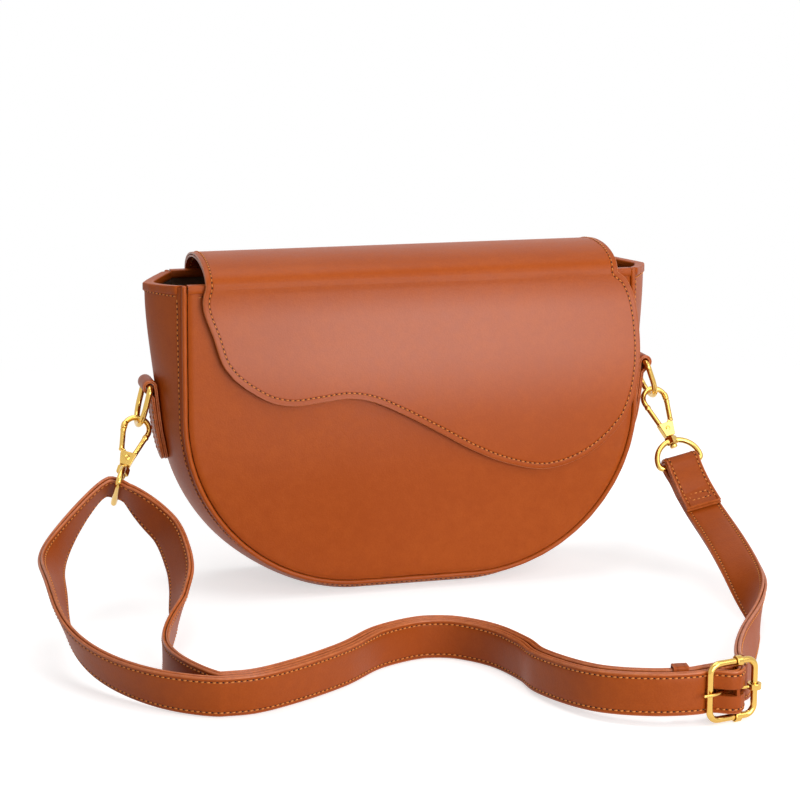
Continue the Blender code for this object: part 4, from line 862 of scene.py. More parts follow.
def gusset_place(station, y, inward=0.0, relief=0.0):
    """Place on the gusset at a seam station and a depth."""
    x, z, nx, nz, turn = station
    depth = half_depth(z)
    margin = depth - abs(y)
    out = bulge(z, turn, y / depth) - inward
    if relief:
        side_on = ease((z - 0.02) / 0.03)
        tuck = 1 - ease(margin / 0.004)
        waves = GUSSET_WAVES * unevenness(y, z) + GUSSET_GATHERS * puckers(z, margin, 0.012)
        out += relief * (side_on * waves - GUSSET_TUCK * tuck)
    return np.array((x + nx * out, y, z + nz * out))


def gusset_grid(inward, edge, cols=48, relief=0.0, **steps):
    grid = []
    for station in seam_stations(PANEL_TOP, **(steps or FINE)):
        depth = half_depth(station[1])
        row = []
        for k in range(cols + 1):
            y = (2 * k / cols - 1) * (depth - edge)
            p = gusset_place(station, y, inward, relief)
            if station[1] >= PANEL_TOP:
                p[2] -= GUSSET_RIM_DIP * (1 - (y / depth) ** 2)
            row.append(p)
        grid.append(row)
    return grid


def piping_line(side):
    """The piping's places and radii, a little uneven, with a joint near the middle of the base."""
    stations = seam_stations(RIM_HEIGHT - BINDING_THICKNESS, **FINE)
    line = [(x, side * half_depth(z), z) for x, z, _, _, _ in stations]
    swells = [1 + 0.03 * math.sin(i * 0.9) + 0.02 * math.sin(i * 0.37) for i in range(len(line))]
    radii = [PIPING_RADIUS * swell for swell in swells]
    joint = min(range(len(line)), key=lambda i: abs(line[i][0] - 0.012) + line[i][2])
    radii[joint] *= 0.72
    return line, radii


def make_body(tan, edge, lining, cloth):
    seam_edge = PIPING_RADIUS + GAP
    lining_place = GAP + BOARD_THICKNESS + GAP
    made = []
    for name, side in (("front", -1), ("back", 1)):
        outer = panel_grid(side, -LEATHER, seam_edge, relief=1.0)
        inner = panel_grid(side, 0.0, seam_edge)
        margin = [[seam_distance(x, z)[0] / FLAP_INSET + 1.5 for x, _, z in row] for row in outer]
        leather = sewn_sheet(name + "_panel_leather", outer, inner, (tan, lining, tan), margin)
        made.append((leather, name + "_panel"))
        made.append((wire(name + "_piping_cord", *piping_line(side), edge, ends=0.6), name + "_piping"))
        faces = [
            panel_grid(side, lining_place + deeper, LEATHER + 2 * GAP, 0.0, 24, 20, 60)
            for deeper in (0.0, LINING_THICKNESS)
        ]
        made.append((sewn_sheet(name + "_lining_cloth", *faces, (cloth,) * 3, rings=3), "lining_" + name))
    outer = gusset_grid(0.0, seam_edge, relief=1.0)
    inner = gusset_grid(LEATHER, seam_edge)
    margin = [[(half_depth(p[2]) - abs(p[1])) / GUSSET_INSET for p in row] for row in outer]
    made.append((sewn_sheet("gusset_leather", outer, inner, (tan, lining, tan), margin), "gusset"))
    inward = LEATHER + lining_place
    edge_in = lining_place + LINING_THICKNESS + GAP
    steps = {"side_steps": 20, "corner_steps": 30, "base_steps": 10}
    faces = [gusset_grid(inward + deeper, edge_in, 24, **steps) for deeper in (0.0, LINING_THICKNESS)]
    made.append((sewn_sheet("gusset_lining_cloth", *faces, (cloth,) * 3, rings=3), "lining_gusset"))
    return made


# Rim binding.


def binding_profile(outer, inner):
    """Rounded U: (outward, up) points from the outer foot over the top to the inner foot and back inside."""
    t = BINDING_THICKNESS
    r = t * 0.9
    drop = BINDING_DEPTH
    profile = [(outer + 0.1 * t, -drop), (outer + t * 0.75, -drop), (outer + t, -drop + 0.3 * t)]
    profile += [(outer + t, -drop * 0.55), (outer + t, -r * 1.2)]
    for k in range(1, 6):
        a = math.pi / 2 * k / 5
        profile.append((outer + t - r + r * math.cos(a), -r + r * math.sin(a)))
    for k in range(6):
        a = math.pi / 2 * k / 5
        profile.append((inner - t + r - r * math.sin(a), -r + r * math.cos(a)))
    profile += [(inner - t, -drop * 0.55), (inner - t, -drop + 0.3 * t), (inner - t * 0.75, -drop)]
    profile += [(inner, -drop), (inner, -t - GAP / 2), (outer, -t - GAP / 2), (outer, -drop * 0.9)]
    return profile


def make_binding(name, line, outer, inner, look):
    sections = []
    for i, (x, y, z, ox, oy) in enumerate(line):
        swell = 0.00012 * math.sin(i * 0.83) + 0.00010 * math.sin(i * 0.31 + 1)
        section = []
        for out, up in binding_profile(outer, inner):
            wide = swell if out > outer + BINDING_THICKNESS / 2 else 0.0
            section.append((x + ox * (out + wide), y + oy * (out + wide), z + up))
        sections.append(section)
    return new_piece(name, *skin(sections), [look], sharp=60)


def make_bindings(look):
    stack = GAP + BOARD_THICKNESS + GAP + LINING_THICKNESS + GAP
    reach = half_width(RIM_HEIGHT, PIPING_RADIUS + GAP)
    edge = RIM_HALF_DEPTH - (stack + BINDING_THICKNESS + GAP)
    lines = {}
    for name, side in (("front", -1), ("back", 1)):
        line = [(reach * (2 * k / 90 - 1), side * RIM_HALF_DEPTH, RIM_HEIGHT, 0.0, side) for k in range(91)]
        lines[name] = line, LEATHER + GAP, -stack
    for name, side in (("left", -1), ("right", 1)):
        line = []
        for k in range(49):
            y = (2 * k / 48 - 1) * edge
            share = y / RIM_HALF_DEPTH
            out = bulge(RIM_HEIGHT, 0.0, share)
            height = RIM_HEIGHT - GUSSET_RIM_DIP * (1 - share * share)
            line.append(((RIM_HALF_WIDTH + out) * side, y, height, side, 0.0))
        lines[name] = line, GAP, -(stack + LEATHER)
    strips = [(name, make_binding("rim_strip_" + name, *way, look)) for name, way in lines.items()]
    return [(strip, "rim_binding_" + name) for name, strip in strips]


# Flap.


def flap_depth(x, z):
    """How far from the bag's middle plane the flap's inner face lies."""
    z = max(z, SEAM_HEIGHT)
    return half_depth(z) + crown(x, z) + LEATHER + GAP + BINDING_THICKNESS + FLAP_CLEARANCE


def flap_point(x, drop, offset):
    """A place on the flap: over the arch where the drop is below 0, down the front where it is above."""
    base = flap_depth(x, HINGE_HEIGHT)
    if drop < 0:
        turn = math.pi * (1 + drop / FLAP_RISE)
        c, s = math.cos(turn), math.sin(turn)
        out = unit((0.0, c / base, s / FLAP_RISE))
        return np.array((x, base * c, HINGE_HEIGHT + FLAP_RISE * s)) + out * offset
    z = HINGE_HEIGHT - drop
    return np.array((x, -flap_depth(x, z) - offset, z))


def flap_curve(shares, count):
    points = [np.array((x * WIDEST_HALF_WIDTH, drop * FLAP_DROP)) for x, drop in shares]
    fine = np.array(smooth_line(points, 0.0006))
    along = walked(fine)
    wanted = np.linspace(0.0, along[-1], count + 1)
    return np.stack([np.interp(wanted, along, fine[:, i]) for i in range(2)], axis=1)


def flap_plan():
    """A grid of (x, drop) over the flap's front, fitted between its four edges."""
    left, right = flap_curve(FLAP_LEFT, FLAP_ROWS), flap_curve(FLAP_RIGHT, FLAP_ROWS)
    wave = flap_curve(FLAP_WAVE, FLAP_COLS)
    top = np.linspace(left[0], right[0], FLAP_COLS + 1)
    v = np.linspace(0, 1, FLAP_ROWS + 1)[:, None, None]
    u = np.linspace(0, 1, FLAP_COLS + 1)[None, :, None]
    corners = (top[0] * (1 - u) + top[-1] * u) * (1 - v) + (wave[0] * (1 - u) + wave[-1] * u) * v
    return left[:, None] * (1 - u) + right[:, None] * u + top[None] * (1 - v) + wave[None] * v - corners


def flap_outline():
    """The flap's free edge as (x, drop): from the arch down the left, along the wave and up the right."""
    left, right, wave = flap_curve(FLAP_LEFT, 60), flap_curve(FLAP_RIGHT, 90), flap_curve(FLAP_WAVE, 260)
    over = np.linspace(-FLAP_RISE, 0.0, 40, endpoint=False)
    start = np.stack([np.full(40, left[0][0]), over], axis=1)
    end = np.stack([np.full(40, right[0][0]), over[::-1]], axis=1)
    return np.vstack([start, left, wave[1:], right[::-1][1:], end])


def inset_outline(line, inset):
    """The same line drawn in toward the middle of the flap."""
    along = tangents(line)
    side = np.stack([along[:, 1], -along[:, 0]], axis=1)
    middle = np.array((0.0, FLAP_DROP * 0.3)) - line[len(line) // 8]
    if side[len(line) // 8].dot(middle) < 0:
        side = -side
    return line + side * inset


def outline_distance(plan, line):
    flat = plan.reshape(-1, 2)
    nearest = np.full(len(flat), 1.0)
    for a, b in zip(line[:-1], line[1:]):
        step = b - a
        share = np.clip((flat - a) @ step / step.dot(step), 0, 1)
        nearest = np.minimum(nearest, np.linalg.norm(flat - a - share[:, None] * step, axis=1))
    return nearest.reshape(plan.shape[:2])


def flap_swell(x, drop):
    """Slight fullness of the flap over its filling, and the spring of its lower edge."""
    if drop <= 0:
        return 0.0
    return FLAP_WAVES * unevenness(x * 0.8, drop) + FLAP_SPRING * ease(drop / FLAP_DROP)


def swelled_flap(x, drop, offset):
    return flap_point(x, drop, offset + flap_swell(x, drop))


def make_flap(tan, lining, edge):
    plan = flap_plan()
    drops = [-FLAP_RISE * (1 - k / FLAP_ARCH_ROWS) for k in range(FLAP_ARCH_ROWS)]
    arch = np.array([[(x, drop) for x, _ in plan[0]] for drop in drops])
    places = np.vstack([arch, plan])
    xs = plan[0, :, 0]
    arch_margin = np.abs(np.minimum(xs - xs[0], xs[-1] - xs))[None].repeat(FLAP_ARCH_ROWS, axis=0)
    margin = np.vstack([arch_margin, outline_distance(plan, flap_outline())]) / FLAP_INSET
    outer_face, outer_back, lining_face, inside_face = (
        [[swelled_flap(x, d, offset) for x, d in row] for row in places]
        for offset in (FLAP_THICKNESS, FLAP_LINING + GAP, FLAP_LINING, 0.0)
    )
    outer = sewn_sheet("flap_leather", outer_face, outer_back, (tan, lining, edge), margin)
    inner = sewn_sheet("flap_inner_leather", inside_face, lining_face, (lining, lining, edge), margin)
    foot = STRAIGHT_HEIGHT - GAP
    low = foot - BINDING_DEPTH
    levels = [(mix(HINGE_HEIGHT - GAP, foot, k / 6), 0.0) for k in range(6)]
    levels += [(mix(foot, low, k / 6), SEWN_STEP * ease(k / 6)) for k in range(6)]
    levels += [(mix(low, SEWN_BOTTOM, k / 16), SEWN_STEP) for k in range(17)]
    xs = [FLAP_REACH * (2 * m / 120 - 1) for m in range(121)]
    faces = [
        [[(x, flap_depth(x, z) + offset - inward, z) for x in xs] for z, inward in levels]
        for offset in (FLAP_THICKNESS, 0.0)
    ]
    edges = [[min(FLAP_REACH - abs(x), z - SEWN_BOTTOM) for x, _, z in row] for row in faces[0]]
    sewn = sewn_sheet("flap_sewn_leather", *faces, (tan, lining, edge), np.array(edges) / FLAP_INSET)
    return [(outer, "flap_outer"), (inner, "flap_lining"), (sewn, "flap_sewn_end")]


# Tabs and rings.


def gusset_rows(**steps):
    rows = []
    for x, level, nx, nz, turn in seam_stations(RIM_HEIGHT, **steps)[::-1]:
        out = bulge(level, turn, 0.0)
        if nx > 0:
            rows.append((level + nz * out, x + nx * out))
    return sorted(rows)


def gusset_side(z, rows):
    return float(np.interp(z, [row[0] for row in rows], [row[1] for row in rows]))


def tab_ring_centre():
    return gusset_side(TAB_TOP, gusset_rows()) + GAP + TAB_THICKNESS / 2 + TAB_CURL_RADIUS, TAB_TOP


def tab_line():
    """The whole folded strip of a tab, tip to tip, as (outward, up), and where its outer leaf begins."""
    plain, fine = gusset_rows(), gusset_rows(**FINE)
    cx, cz = tab_ring_centre()
    inner = []
    for k in range(41):
        z = mix(TAB_TIP, TAB_TOP, k / 40)
        near = gusset_side(z, plain)
        x = max(near, mix(gusset_side(z, fine), near, ease((k - 30) / 10)))
        inner.append((x + GAP + TAB_THICKNESS / 2, z))
    turns = [math.pi - math.radians(230) * k / 27 for k in range(1, 28)]
    fold = [(cx + TAB_CURL_RADIUS * math.cos(turn), cz + TAB_CURL_RADIUS * math.sin(turn)) for turn in turns]
    step = TAB_THICKNESS + GAP
    outer = [(x + step, z) for x, z in inner[::-1] if z < cz - 2 * TAB_CURL_RADIUS]
    neck = smooth_line([np.array(p) for p in (fold[-2], fold[-1], outer[0], outer[1])], 0.0008)
    first = min(range(len(neck)), key=lambda i: math.dist(neck[i], fold[-1]))
    last = min(range(len(neck)), key=lambda i: math.dist(neck[i], outer[0]))
    whole = inner + fold + [tuple(p) for p in neck[first + 1:last]] + outer
    return whole, len(whole) - len(outer)


def tab_half(z):
    rise = min(max((z - TAB_TIP) / TAB_TIP_LENGTH, 0.0), 1.0)
    return TAB_WIDTH / 2 * (0.35 + 0.65 * math.sqrt(1 - (1 - rise) ** 2))


def plied_profile(half, low, high, plies, inset=0.0, groove=0.0):
    """Section of a flat band as (across, out) with beaded edges, and for each side whether it is an edge."""
    bead = (high - low) / plies / 2
    face = [half - bead]
    if inset:
        face += [half - inset + off for off in (0.0007, 0.0003, 0.0, -0.0003, -0.0007)]
    face += [half * 0.5, half * 0.2]
    dips = {round(half - inset + off, 6): dip for off, dip in ((0.0, 1.0), (0.0003, 0.7), (-0.0003, 0.7))}
    row = [(-a, dips.get(round(a, 6), 0.0)) for a in face]
    row += [(-a, dip) for a, dip in row[::-1]]
    beads = []
    for ply in range(plies):
        centre = high - bead * (2 * ply + 1)
        for k in range(0 if ply else 1, 6 if ply == plies - 1 else 7):
            t = math.pi / 2 - math.pi * k / 6
            beads.append((half - bead + bead * math.cos(t) * 0.96, centre + bead * math.sin(t)))
    profile = [(a, high - groove * dip) for a, dip in row] + beads
    profile += [(-a, low) for a, _ in row] + [(-a, b) for a, b in beads[::-1]]
    return profile, ([0] * (len(row) - 1) + [1] * (len(beads) + 1)) * 2


def banded(name, sections, flags, looks, margins=None):
    """Skins like sections whose sides are face or edge, with caps in the edge finish."""
    slots = list(flags) * (len(sections) - 1) + [1, 1]
    margin = None if margins is None else list(margins) * len(sections)
    return new_piece(name, *skin(sections), looks, slots, margin, sharp=50)


def make_tab(name, side, tan, edge):
    line, _ = tab_line()
    points = np.array([(side * x, 0.0, z) for x, z in line])
    sections = []
    for (x, y, z), t in zip(points, tangents(points)):
        normal = np.array((-t[2], 0.0, t[0]))
        profile, flags = plied_profile(tab_half(z), -TAB_THICKNESS / 2, TAB_THICKNESS / 2, 2)
        sections.append([np.array((x, y + a, z)) + normal * b for a, b in profile])
    return banded(name, sections, flags, (tan, edge))


def ring_line(half, height, corner):
    """A D ring's closed line as (across, down from its bar), bar first."""
    turns = [math.pi / 2 * k / 8 for k in range(1, 9)]
    bend = [(half - corner + corner * math.sin(a), corner - corner * math.cos(a)) for a in turns]
    leg = max(height - half, corner)
    arc = [math.pi * k / RING_ARC_STEPS for k in range(RING_ARC_STEPS + 1)]
    points = [(a, 0.0) for a in np.linspace(-half + corner, half - corner, 12)] + bend
    points += [(half * math.cos(turn), leg + (height - leg) * math.sin(turn)) for turn in arc]
    points += [(-a, d) for a, d in bend[::-1]]
    cleaned = [points[0]]
    for p in points[1:]:
        if math.dist(p, cleaned[-1]) > GAP / 2 and math.dist(p, cleaned[0]) > GAP / 2:
            cleaned.append(p)
    return cleaned


def tab_ring_frame(side):
    x, z = tab_ring_centre()
    swing = TAB_RING_SWING[side]
    down = np.array((side * math.sin(swing), 0.0, -math.cos(swing)))
    return np.array((side * x, 0.0, z)), np.array((0.0, 1.0, 0.0)), down


def make_tab_ring(name, side, gold):
    centre, across, down = tab_ring_frame(side)
    line = ring_line(TAB_RING_HALF_WIDTH, TAB_RING_HEIGHT, RING_WIRE * 2)
    points = [centre + a * across + d * down for a, d in line]
    return wire(name, points, RING_WIRE, gold, closed=True, sides=24)


# Snap hooks.


def hook_frame(side):
    centre, _, down = tab_ring_frame(side)
    tilt, lean = HOOK_TILT[side], HOOK_LEAN[side]
    fore = np.array((0.0, math.sin(lean), math.cos(lean)))
    aside = np.array((side, 0.0, 0.0))
    up = fore * math.cos(tilt) - aside * math.sin(tilt)
    gate = fore * math.sin(tilt) + aside * math.cos(tilt)
    swing_up = np.array((-side * math.sin(tilt), 0.0, math.cos(tilt)))
    link = centre + down * TAB_RING_HEIGHT
    crook = link + swing_up * (RING_WIRE + GAP + HOOK_WIRE)
    return crook, (gate, np.cross(up, gate), up)


def in_hook(side, x, y, down):
    """A place in a hook's own frame: toward its gate, through its plane, and down from its crook."""
    crook, (gate, through, up) = hook_frame(side)
    return crook + x * gate + y * through - down * up


def hook_plate(side, outline, half):
    through = hook_frame(side)[1][1]
    return prism([in_hook(side, x, 0.0, d) for x, d in outline], through, half)


def gate_leg():
    top = (CROOK_RADIUS - HOOK_WIRE / 8, GATE_TOP)
    foot = (HOOK_SHOULDER_HALF_WIDTH - HOOK_WIRE / 4, HOOK_WAIST - GATE_END_GAP)
    return top, foot


def make_hook_frame(name, side, gold):
    _, (_, through, up) = hook_frame(side)
    bend = math.radians(20)
    fixed_top = np.array((-CROOK_RADIUS * math.cos(bend), CROOK_RADIUS * (1 + math.sin(bend))))
    root = np.array((-HOOK_FOOT_HALF_WIDTH, HOOK_WAIST + HOOK_WIRE))
    leg = [mix(root, fixed_top, k / 30) for k in range(30)]
    turns = [math.radians(200 - 200 * k / 48) for k in range(49)]
    arc = [(CROOK_RADIUS * math.cos(turn), CROOK_RADIUS * (1 - math.sin(turn))) for turn in turns]
    (top_x, top_d), _ = gate_leg()
    line = leg + arc + [(top_x, top_d - GATE_END_GAP)]
    radii = []
    for i in range(len(line)):
        collar = i in HOOK_COLLARS or i >= len(line) - HOOK_NOSE_STATIONS
        ribbed = side < 0 and i in HOOK_RIBS
        radii.append(HOOK_WIRE * (RIB_RADII[i % 2] if ribbed else (COLLAR_RADIUS if collar else 1.0)))
    solids = [skin(wire_sections([in_hook(side, x, 0.0, d) for x, d in line], radii, 20, ends=0.35))]
    shoulder, foot = HOOK_SHOULDER_HALF_WIDTH, HOOK_FOOT_HALF_WIDTH
    outline = [(-shoulder, HOOK_WAIST), (shoulder, HOOK_WAIST), (foot, HOOK_HEEL), (-foot, HOOK_HEEL)]
    solids.append(hook_plate(side, outline, HOOK_BLOCK_HALF_THICKNESS))
    room = GATE_TANG_RADIUS + GAP
    out = shoulder + 0.005
    top = HOOK_WAIST - HOOK_WIRE * 2
    floor = GATE_PIVOT_DEPTH + room
    tang_top = GATE_PIVOT_DEPTH - GATE_TANG_RADIUS
    slot = [(GAP, top), (out, top), (out, floor), (-room, floor), (-room, tang_top)]
    pivot, heel = (in_hook(side, 0.0, 0.0, down) for down in (GATE_PIVOT_DEPTH, HOOK_HEEL))
    cuts = [
        hook_plate(side, slot, GATE_SLOT_HALF_WIDTH + GAP),
        barrel(pivot, through, GATE_BORE, HOOK_BLOCK_HALF_THICKNESS * 2, 20),
        turned(heel, up, [(POST_BORE, -0.01), (POST_BORE, POST_RADIUS * 1.5)], 20),
    ]
    return cast(name, solids, cuts, gold)


def make_gate(name, side, gold):
    top, foot = gate_leg()
    points = [in_hook(side, mix(top[0], foot[0], k / 8), 0.0, mix(top[1], foot[1], k / 8)) for k in range(9)]
    radii = [HOOK_WIRE * (GATE_COLLAR_RADIUS if k in (0, 8) else 1.0) for k in range(9)]
    solids = [skin(wire_sections(points, radii, 20, ends=0.15))]
    neck = HOOK_WIRE / 2
    outline = [(foot[0] - neck, foot[1] - neck * 2), (foot[0] + neck, foot[1] - neck * 2)]
    for k in range(17):
        turn = math.radians(240 * k / 16 - 40)
        x, down = GATE_TANG_RADIUS * math.cos(turn), GATE_TANG_RADIUS * math.sin(turn)
        outline.append((x, GATE_PIVOT_DEPTH + down))
    solids.append(hook_plate(side, outline, GATE_SLOT_HALF_WIDTH))
    pivot = in_hook(side, 0.0, 0.0, GATE_PIVOT_DEPTH)
    cuts = [barrel(pivot, hook_frame(side)[1][1], GATE_BORE, 0.005, 20)]
    return cast(name, solids, cuts, gold, rounding=2)


def rivet_profile(half):
    """A pin with a low turned head at each end, as (radius, along)."""
    near = [(r, -half - 0.0004 + d) for r, d in RIVET_HEAD]
    return near + [(r, -a) for r, a in near[::-1]]


def make_hook(tag, side, ring_turn, gold):
    """All pieces of one snap hook, and where its ring's bar is."""
    made = [(make_hook_frame("snap_hook_" + tag, side, gold), "hook_frame_" + tag)]
    made.append((make_gate("snap_gate_" + tag, side, gold), "hook_gate_" + tag))
    crook, (gate, through, up) = hook_frame(side)
    pivot = in_hook(side, 0.0, 0.0, GATE_PIVOT_DEPTH)
    profile = rivet_profile(HOOK_BLOCK_HALF_THICKNESS)
    pin = new_piece("snap_rivet_" + tag, *turned(pivot, through, profile), [gold])
    made.append((pin, "gate_rivet_" + tag))
    start = HOOK_HEEL - POST_RADIUS
    lip = BOSS_FOOT + GAP
    end = lip + HEAD_LENGTH
    post = [
        (0.0, -start), (POST_RADIUS, -start), (POST_RADIUS, -lip), (HEAD_RADIUS * 0.9, -lip),
        (HEAD_RADIUS, -lip - 0.0002), (HEAD_RADIUS, -end + 0.0006), (HEAD_RADIUS * 0.86, -end + 0.00018),
        (HEAD_RADIUS * 0.5, -end), (0.0, -end),
    ]
    stud = new_piece("swivel_stud_" + tag, *turned(crook, up, post), [gold])
    made.append((stud, "swivel_rivet_" + tag))
    across = math.cos(ring_turn) * gate + math.sin(ring_turn) * through
    bar = in_hook(side, 0.0, 0.0, BOSS_TOP + BOSS_LENGTH / 2 + STRAP_RING_HEIGHT)
    line = ring_line(STRAP_RING_HALF_WIDTH, STRAP_RING_HEIGHT, RING_WIRE * 1.5)
    ring = skin(wire_sections([bar + a * across + d * up for a, d in line], RING_WIRE, 24, True), True)
    r, bevel = BOSS_RADIUS * 1.32, 0.0007
    boss = [(r - bevel, -BOSS_TOP), (r, -BOSS_TOP - bevel), (r, -BOSS_FOOT + bevel), (r - bevel, -BOSS_FOOT)]
    cuts = [turned(crook, up, [(POST_BORE, -BOSS_TOP + 0.003), (POST_BORE, -BOSS_FOOT - 0.003)], 20)]
    solids = [ring, turned(crook, up, boss, 4)]
    made.append((cast("swivel_ring_" + tag, solids, cuts, gold), "strap_ring_" + tag))
    return made, (bar, across, up)


# Strap.


def normals(stations):
    lines = tangents([p for p, _ in stations])
    return [np.cross(line, unit(w - line * line.dot(w))) for (_, w), line in zip(stations, lines)]


def from_table(table):
    return [(np.array(row[:3]) * STRAP_REACH, unit(row[3:])) for row in table]


def on_ground(stations):
    """Lifts the stations whose strap would reach below the floor."""
    lifted = []
    for (p, w), n in zip(stations, normals(stations)):
        low = p[2] - abs(w[2]) * STRAP_WIDTH / 2 - abs(n[2]) * STRAP_THICKNESS / 2 - GAP
        lifted.append((p + np.array((0.0, 0.0, max(-low, 0.0))), w))
    return lifted


def spread(stations):
    rows = smooth_line([np.concatenate([p, w]) for p, w in stations], STRAP_STEP)
    return [(row[:3], unit(row[3:])) for row in rows]


def in_buckle(along, out, up=0.0):
    """A place in the buckle's own frame: along the strap, out to the front, and up."""
    return BUCKLE_CENTRE + BUCKLE_ALONG * along + BUCKLE_FRONT * out + UPWARD * up


def middle_run():
    rows = [np.array((x, y, 0.0)) * STRAP_REACH for x, y, _ in MIDDLE_RUN]
    leans = [math.radians(lean) for _, _, lean in MIDDLE_RUN]
    for along in (-BUCKLE_HALF_LENGTH - BUCKLE_ENTRY_LENGTH, -BUCKLE_HALF_LENGTH):
        end = in_buckle(along, (FRONT_LAYER_OUT + REAR_LAYER_OUT) / 2)
        rows.append(np.array((end[0], end[1], 0.0)))
        leans.append(0.0)
    line = smooth_line([np.append(p, lean) for p, lean in zip(rows, leans)], STRAP_STEP)
    places = [row[:3] for row in line]
    stations = []
    for row, along, rise in zip(line, tangents(places), rise_to_buckle(walked(places))):
        toward = np.array((along[1], -along[0], 0.0))
        w = math.cos(row[3]) * UPWARD + math.sin(row[3]) * toward
        base = w * STRAP_WIDTH / 2
        base[2] += math.sin(abs(row[3])) * (STRAP_THICKNESS + GAP) + GAP
        base[2] = mix(base[2], BUCKLE_CENTRE[2], rise)
        stations.append((row[:3] + base, w))
    return stations


def rise_to_buckle(gone):
    """For each distance along the doubled run, how far it has risen to the buckle, from 0 to 1."""
    return [ease(1 - (gone[-1] - way) / BUCKLE_RISE_LENGTH) for way in gone]


def layer(stations, side):
    """One layer of the doubled run: the front one on side 1, the rear one on side -1."""
    at_buckle = (FRONT_LAYER_OUT - REAR_LAYER_OUT) / 2
    rises = rise_to_buckle(walked([p for p, _ in stations]))
    spacing = [mix(LAYER_HALF_SPACING, at_buckle, rise) for rise in rises]
    return [(p + n * side * offset, w) for (p, w), n, offset in zip(stations, normals(stations), spacing)]


def strap_route(rings):
    """All stations of the strap, from its sewn end round the right ring to its wrap on the buckle's bar."""
    bar, across, up = rings["right"]
    front = -np.cross(up, across)
    widen = 2 * RING_WRAP_RADIUS - 2 * LAYER_HALF_SPACING
    start = []
    for k in range(4):
        drawn = front * (widen * ease(k / 3) - RING_WRAP_RADIUS)
        start.append((bar + drawn - up * STRAP_FOLD_EASE * k / 3, across))
    run = middle_run()
    rear = layer(run, -1)[::-1]
    behind = [(in_buckle(a, REAR_LAYER_OUT), UPWARD) for a in (BUCKLE_HALF_LENGTH, 0.0)]
    hanging = spread(start + on_ground(from_table(RIGHT_HANGING)) + behind + rear[:1])
    bar_l, across_l, up_l = rings["left"]
    onward = np.cross(across_l, up_l)
    over = []
    for k in (-1, 0, 1):
        spot = bar_l + up_l * (RING_WRAP_RADIUS - RING_WIRE * abs(k)) + onward * RING_WRAP_RADIUS * 2 * k
        over.append((spot, across_l))
    right, left = (on_ground(from_table(table)) for table in (RIGHT_BRANCH, LEFT_BRANCH))
    loop = rear + right + over + left + layer(run, 1)
    through = [in_buckle(a * BUCKLE_HALF_LENGTH, out * BUCKLE_HALF_LENGTH) for a, out in FOLD_PLACES]
    for k in range(13):
        turn = math.radians(60 - 150 * k / 12)
        wrapped = BAR_WRAP_RADIUS * math.cos(turn), BAR_WRAP_RADIUS * math.sin(turn)
        through.append(in_buckle(BAR_PLACE + wrapped[0], BAR_OUT + wrapped[1]))
    through.append(in_buckle(BAR_PLACE - BAR_TAIL, BAR_OUT - BAR_WRAP_RADIUS))
    free = spread(loop + [(p, UPWARD) for p in through])
    main_run = on_ground(settled(hanging[:-1] + free, (bar_l, bar)))
    gone = walked([p for p, _ in main_run])
    fold = []
    for (p, w), n, way, before in zip(main_run[1:], normals(main_run)[1:], gone[1:], gone):
        if before > STRAP_TURN:
            break
        fold.append((p + n * (2 * LAYER_HALF_SPACING + widen * (1 - ease(way / STRAP_FOLD_EASE))), w))
    wrap = [(bar + front * RING_WRAP_RADIUS, across)]
    for k in range(1, 18):
        turn = math.pi * k / 18
        wrap.append((bar + RING_WRAP_RADIUS * (front * math.cos(turn) + up * math.sin(turn)), across))
    return fold[::-1] + wrap + main_run


def past(value, limits):
    """0 up to the first limit, then a soft rise to 1 over the second one's length."""
    start, length = limits
    return ease((value - start) / length)


def settled(stations, bars):
    """Evens out the strap's free lengths, and holds it at its rings, buckle and ground run."""
    places = np.array([p for p, _ in stations])
    widths = np.array([w for _, w in stations])
    left, right, buckle = (np.linalg.norm(places - spot, axis=1) for spot in (*bars, BUCKLE_CENTRE))
    free = []
    for x, from_left, from_right, from_buckle in zip(places[:, 0], left, right, buckle):
        loop = past(-x, LOOP_FREE) * past(from_left, LEFT_RING_FREE)
        hanging = past(x, HANGING_FREE) * past(from_right, RIGHT_RING_FREE) * past(from_buckle, BUCKLE_FREE)
        free.append(max(loop, hanging) / 2)
    free = np.array(free)[1:-1, None]
    for _ in range(int(2 * (SETTLE_LENGTH / STRAP_STEP) ** 2)):
        for rows in (places, widths):
            rows[1:-1] += free * ((rows[:-2] + rows[2:]) / 2 - rows[1:-1])
    return [(p, unit(w)) for p, w in zip(places, widths)]


def make_strap(rings, tan, inside, edge):
    route = strap_route(rings)
    made = []
    lines = tangents([p for p, _ in route])
    profile, flags = plied_profile(STRAP_WIDTH / 2, GAP / 2, STRAP_HALF, 1, STRAP_INSET, STITCH_GROOVE)
    margins = [
        (STRAP_WIDTH / 2 - abs(a)) / STRAP_INSET if b > STRAP_HALF * 0.6 else NO_MARGIN for a, b in profile
    ]
    for name, node, side, look in (
        ("strap_face_leather", "strap_outer", 1, tan), ("strap_inner_leather", "strap_lining", -1, inside),
    ):
        sections = []
        for i, ((p, w), line) in enumerate(zip(route, lines)):
            w = unit(w - line * line.dot(w))
            normal = np.cross(line, w) * side
            ahead = unit(route[i + 1][0] - p) if i + 1 < len(route) else line
            mitre = 1 / max(line.dot(ahead), 0.85)
            sections.append([p + w * a + normal * b * mitre for a, b in profile])
        band = banded(name, sections, flags, (look, edge), margins)
        tall = UPWARD * (PRONG_RADIUS + KEEPER_CLEARANCE)
        for a, b, near, far in PRONG_SLOTS:
            centre = in_buckle((a + b) / 2, (near + far) / 2)
            wide = BUCKLE_ALONG * (b - a) / 2
            corners = [centre + wide * s + tall * t for s, t in ((-1, -1), (1, -1), (1, 1), (-1, 1))]
            cut(band, *prism(corners, BUCKLE_FRONT, (far - near) / 2))
        made.append((band, node))
    return made


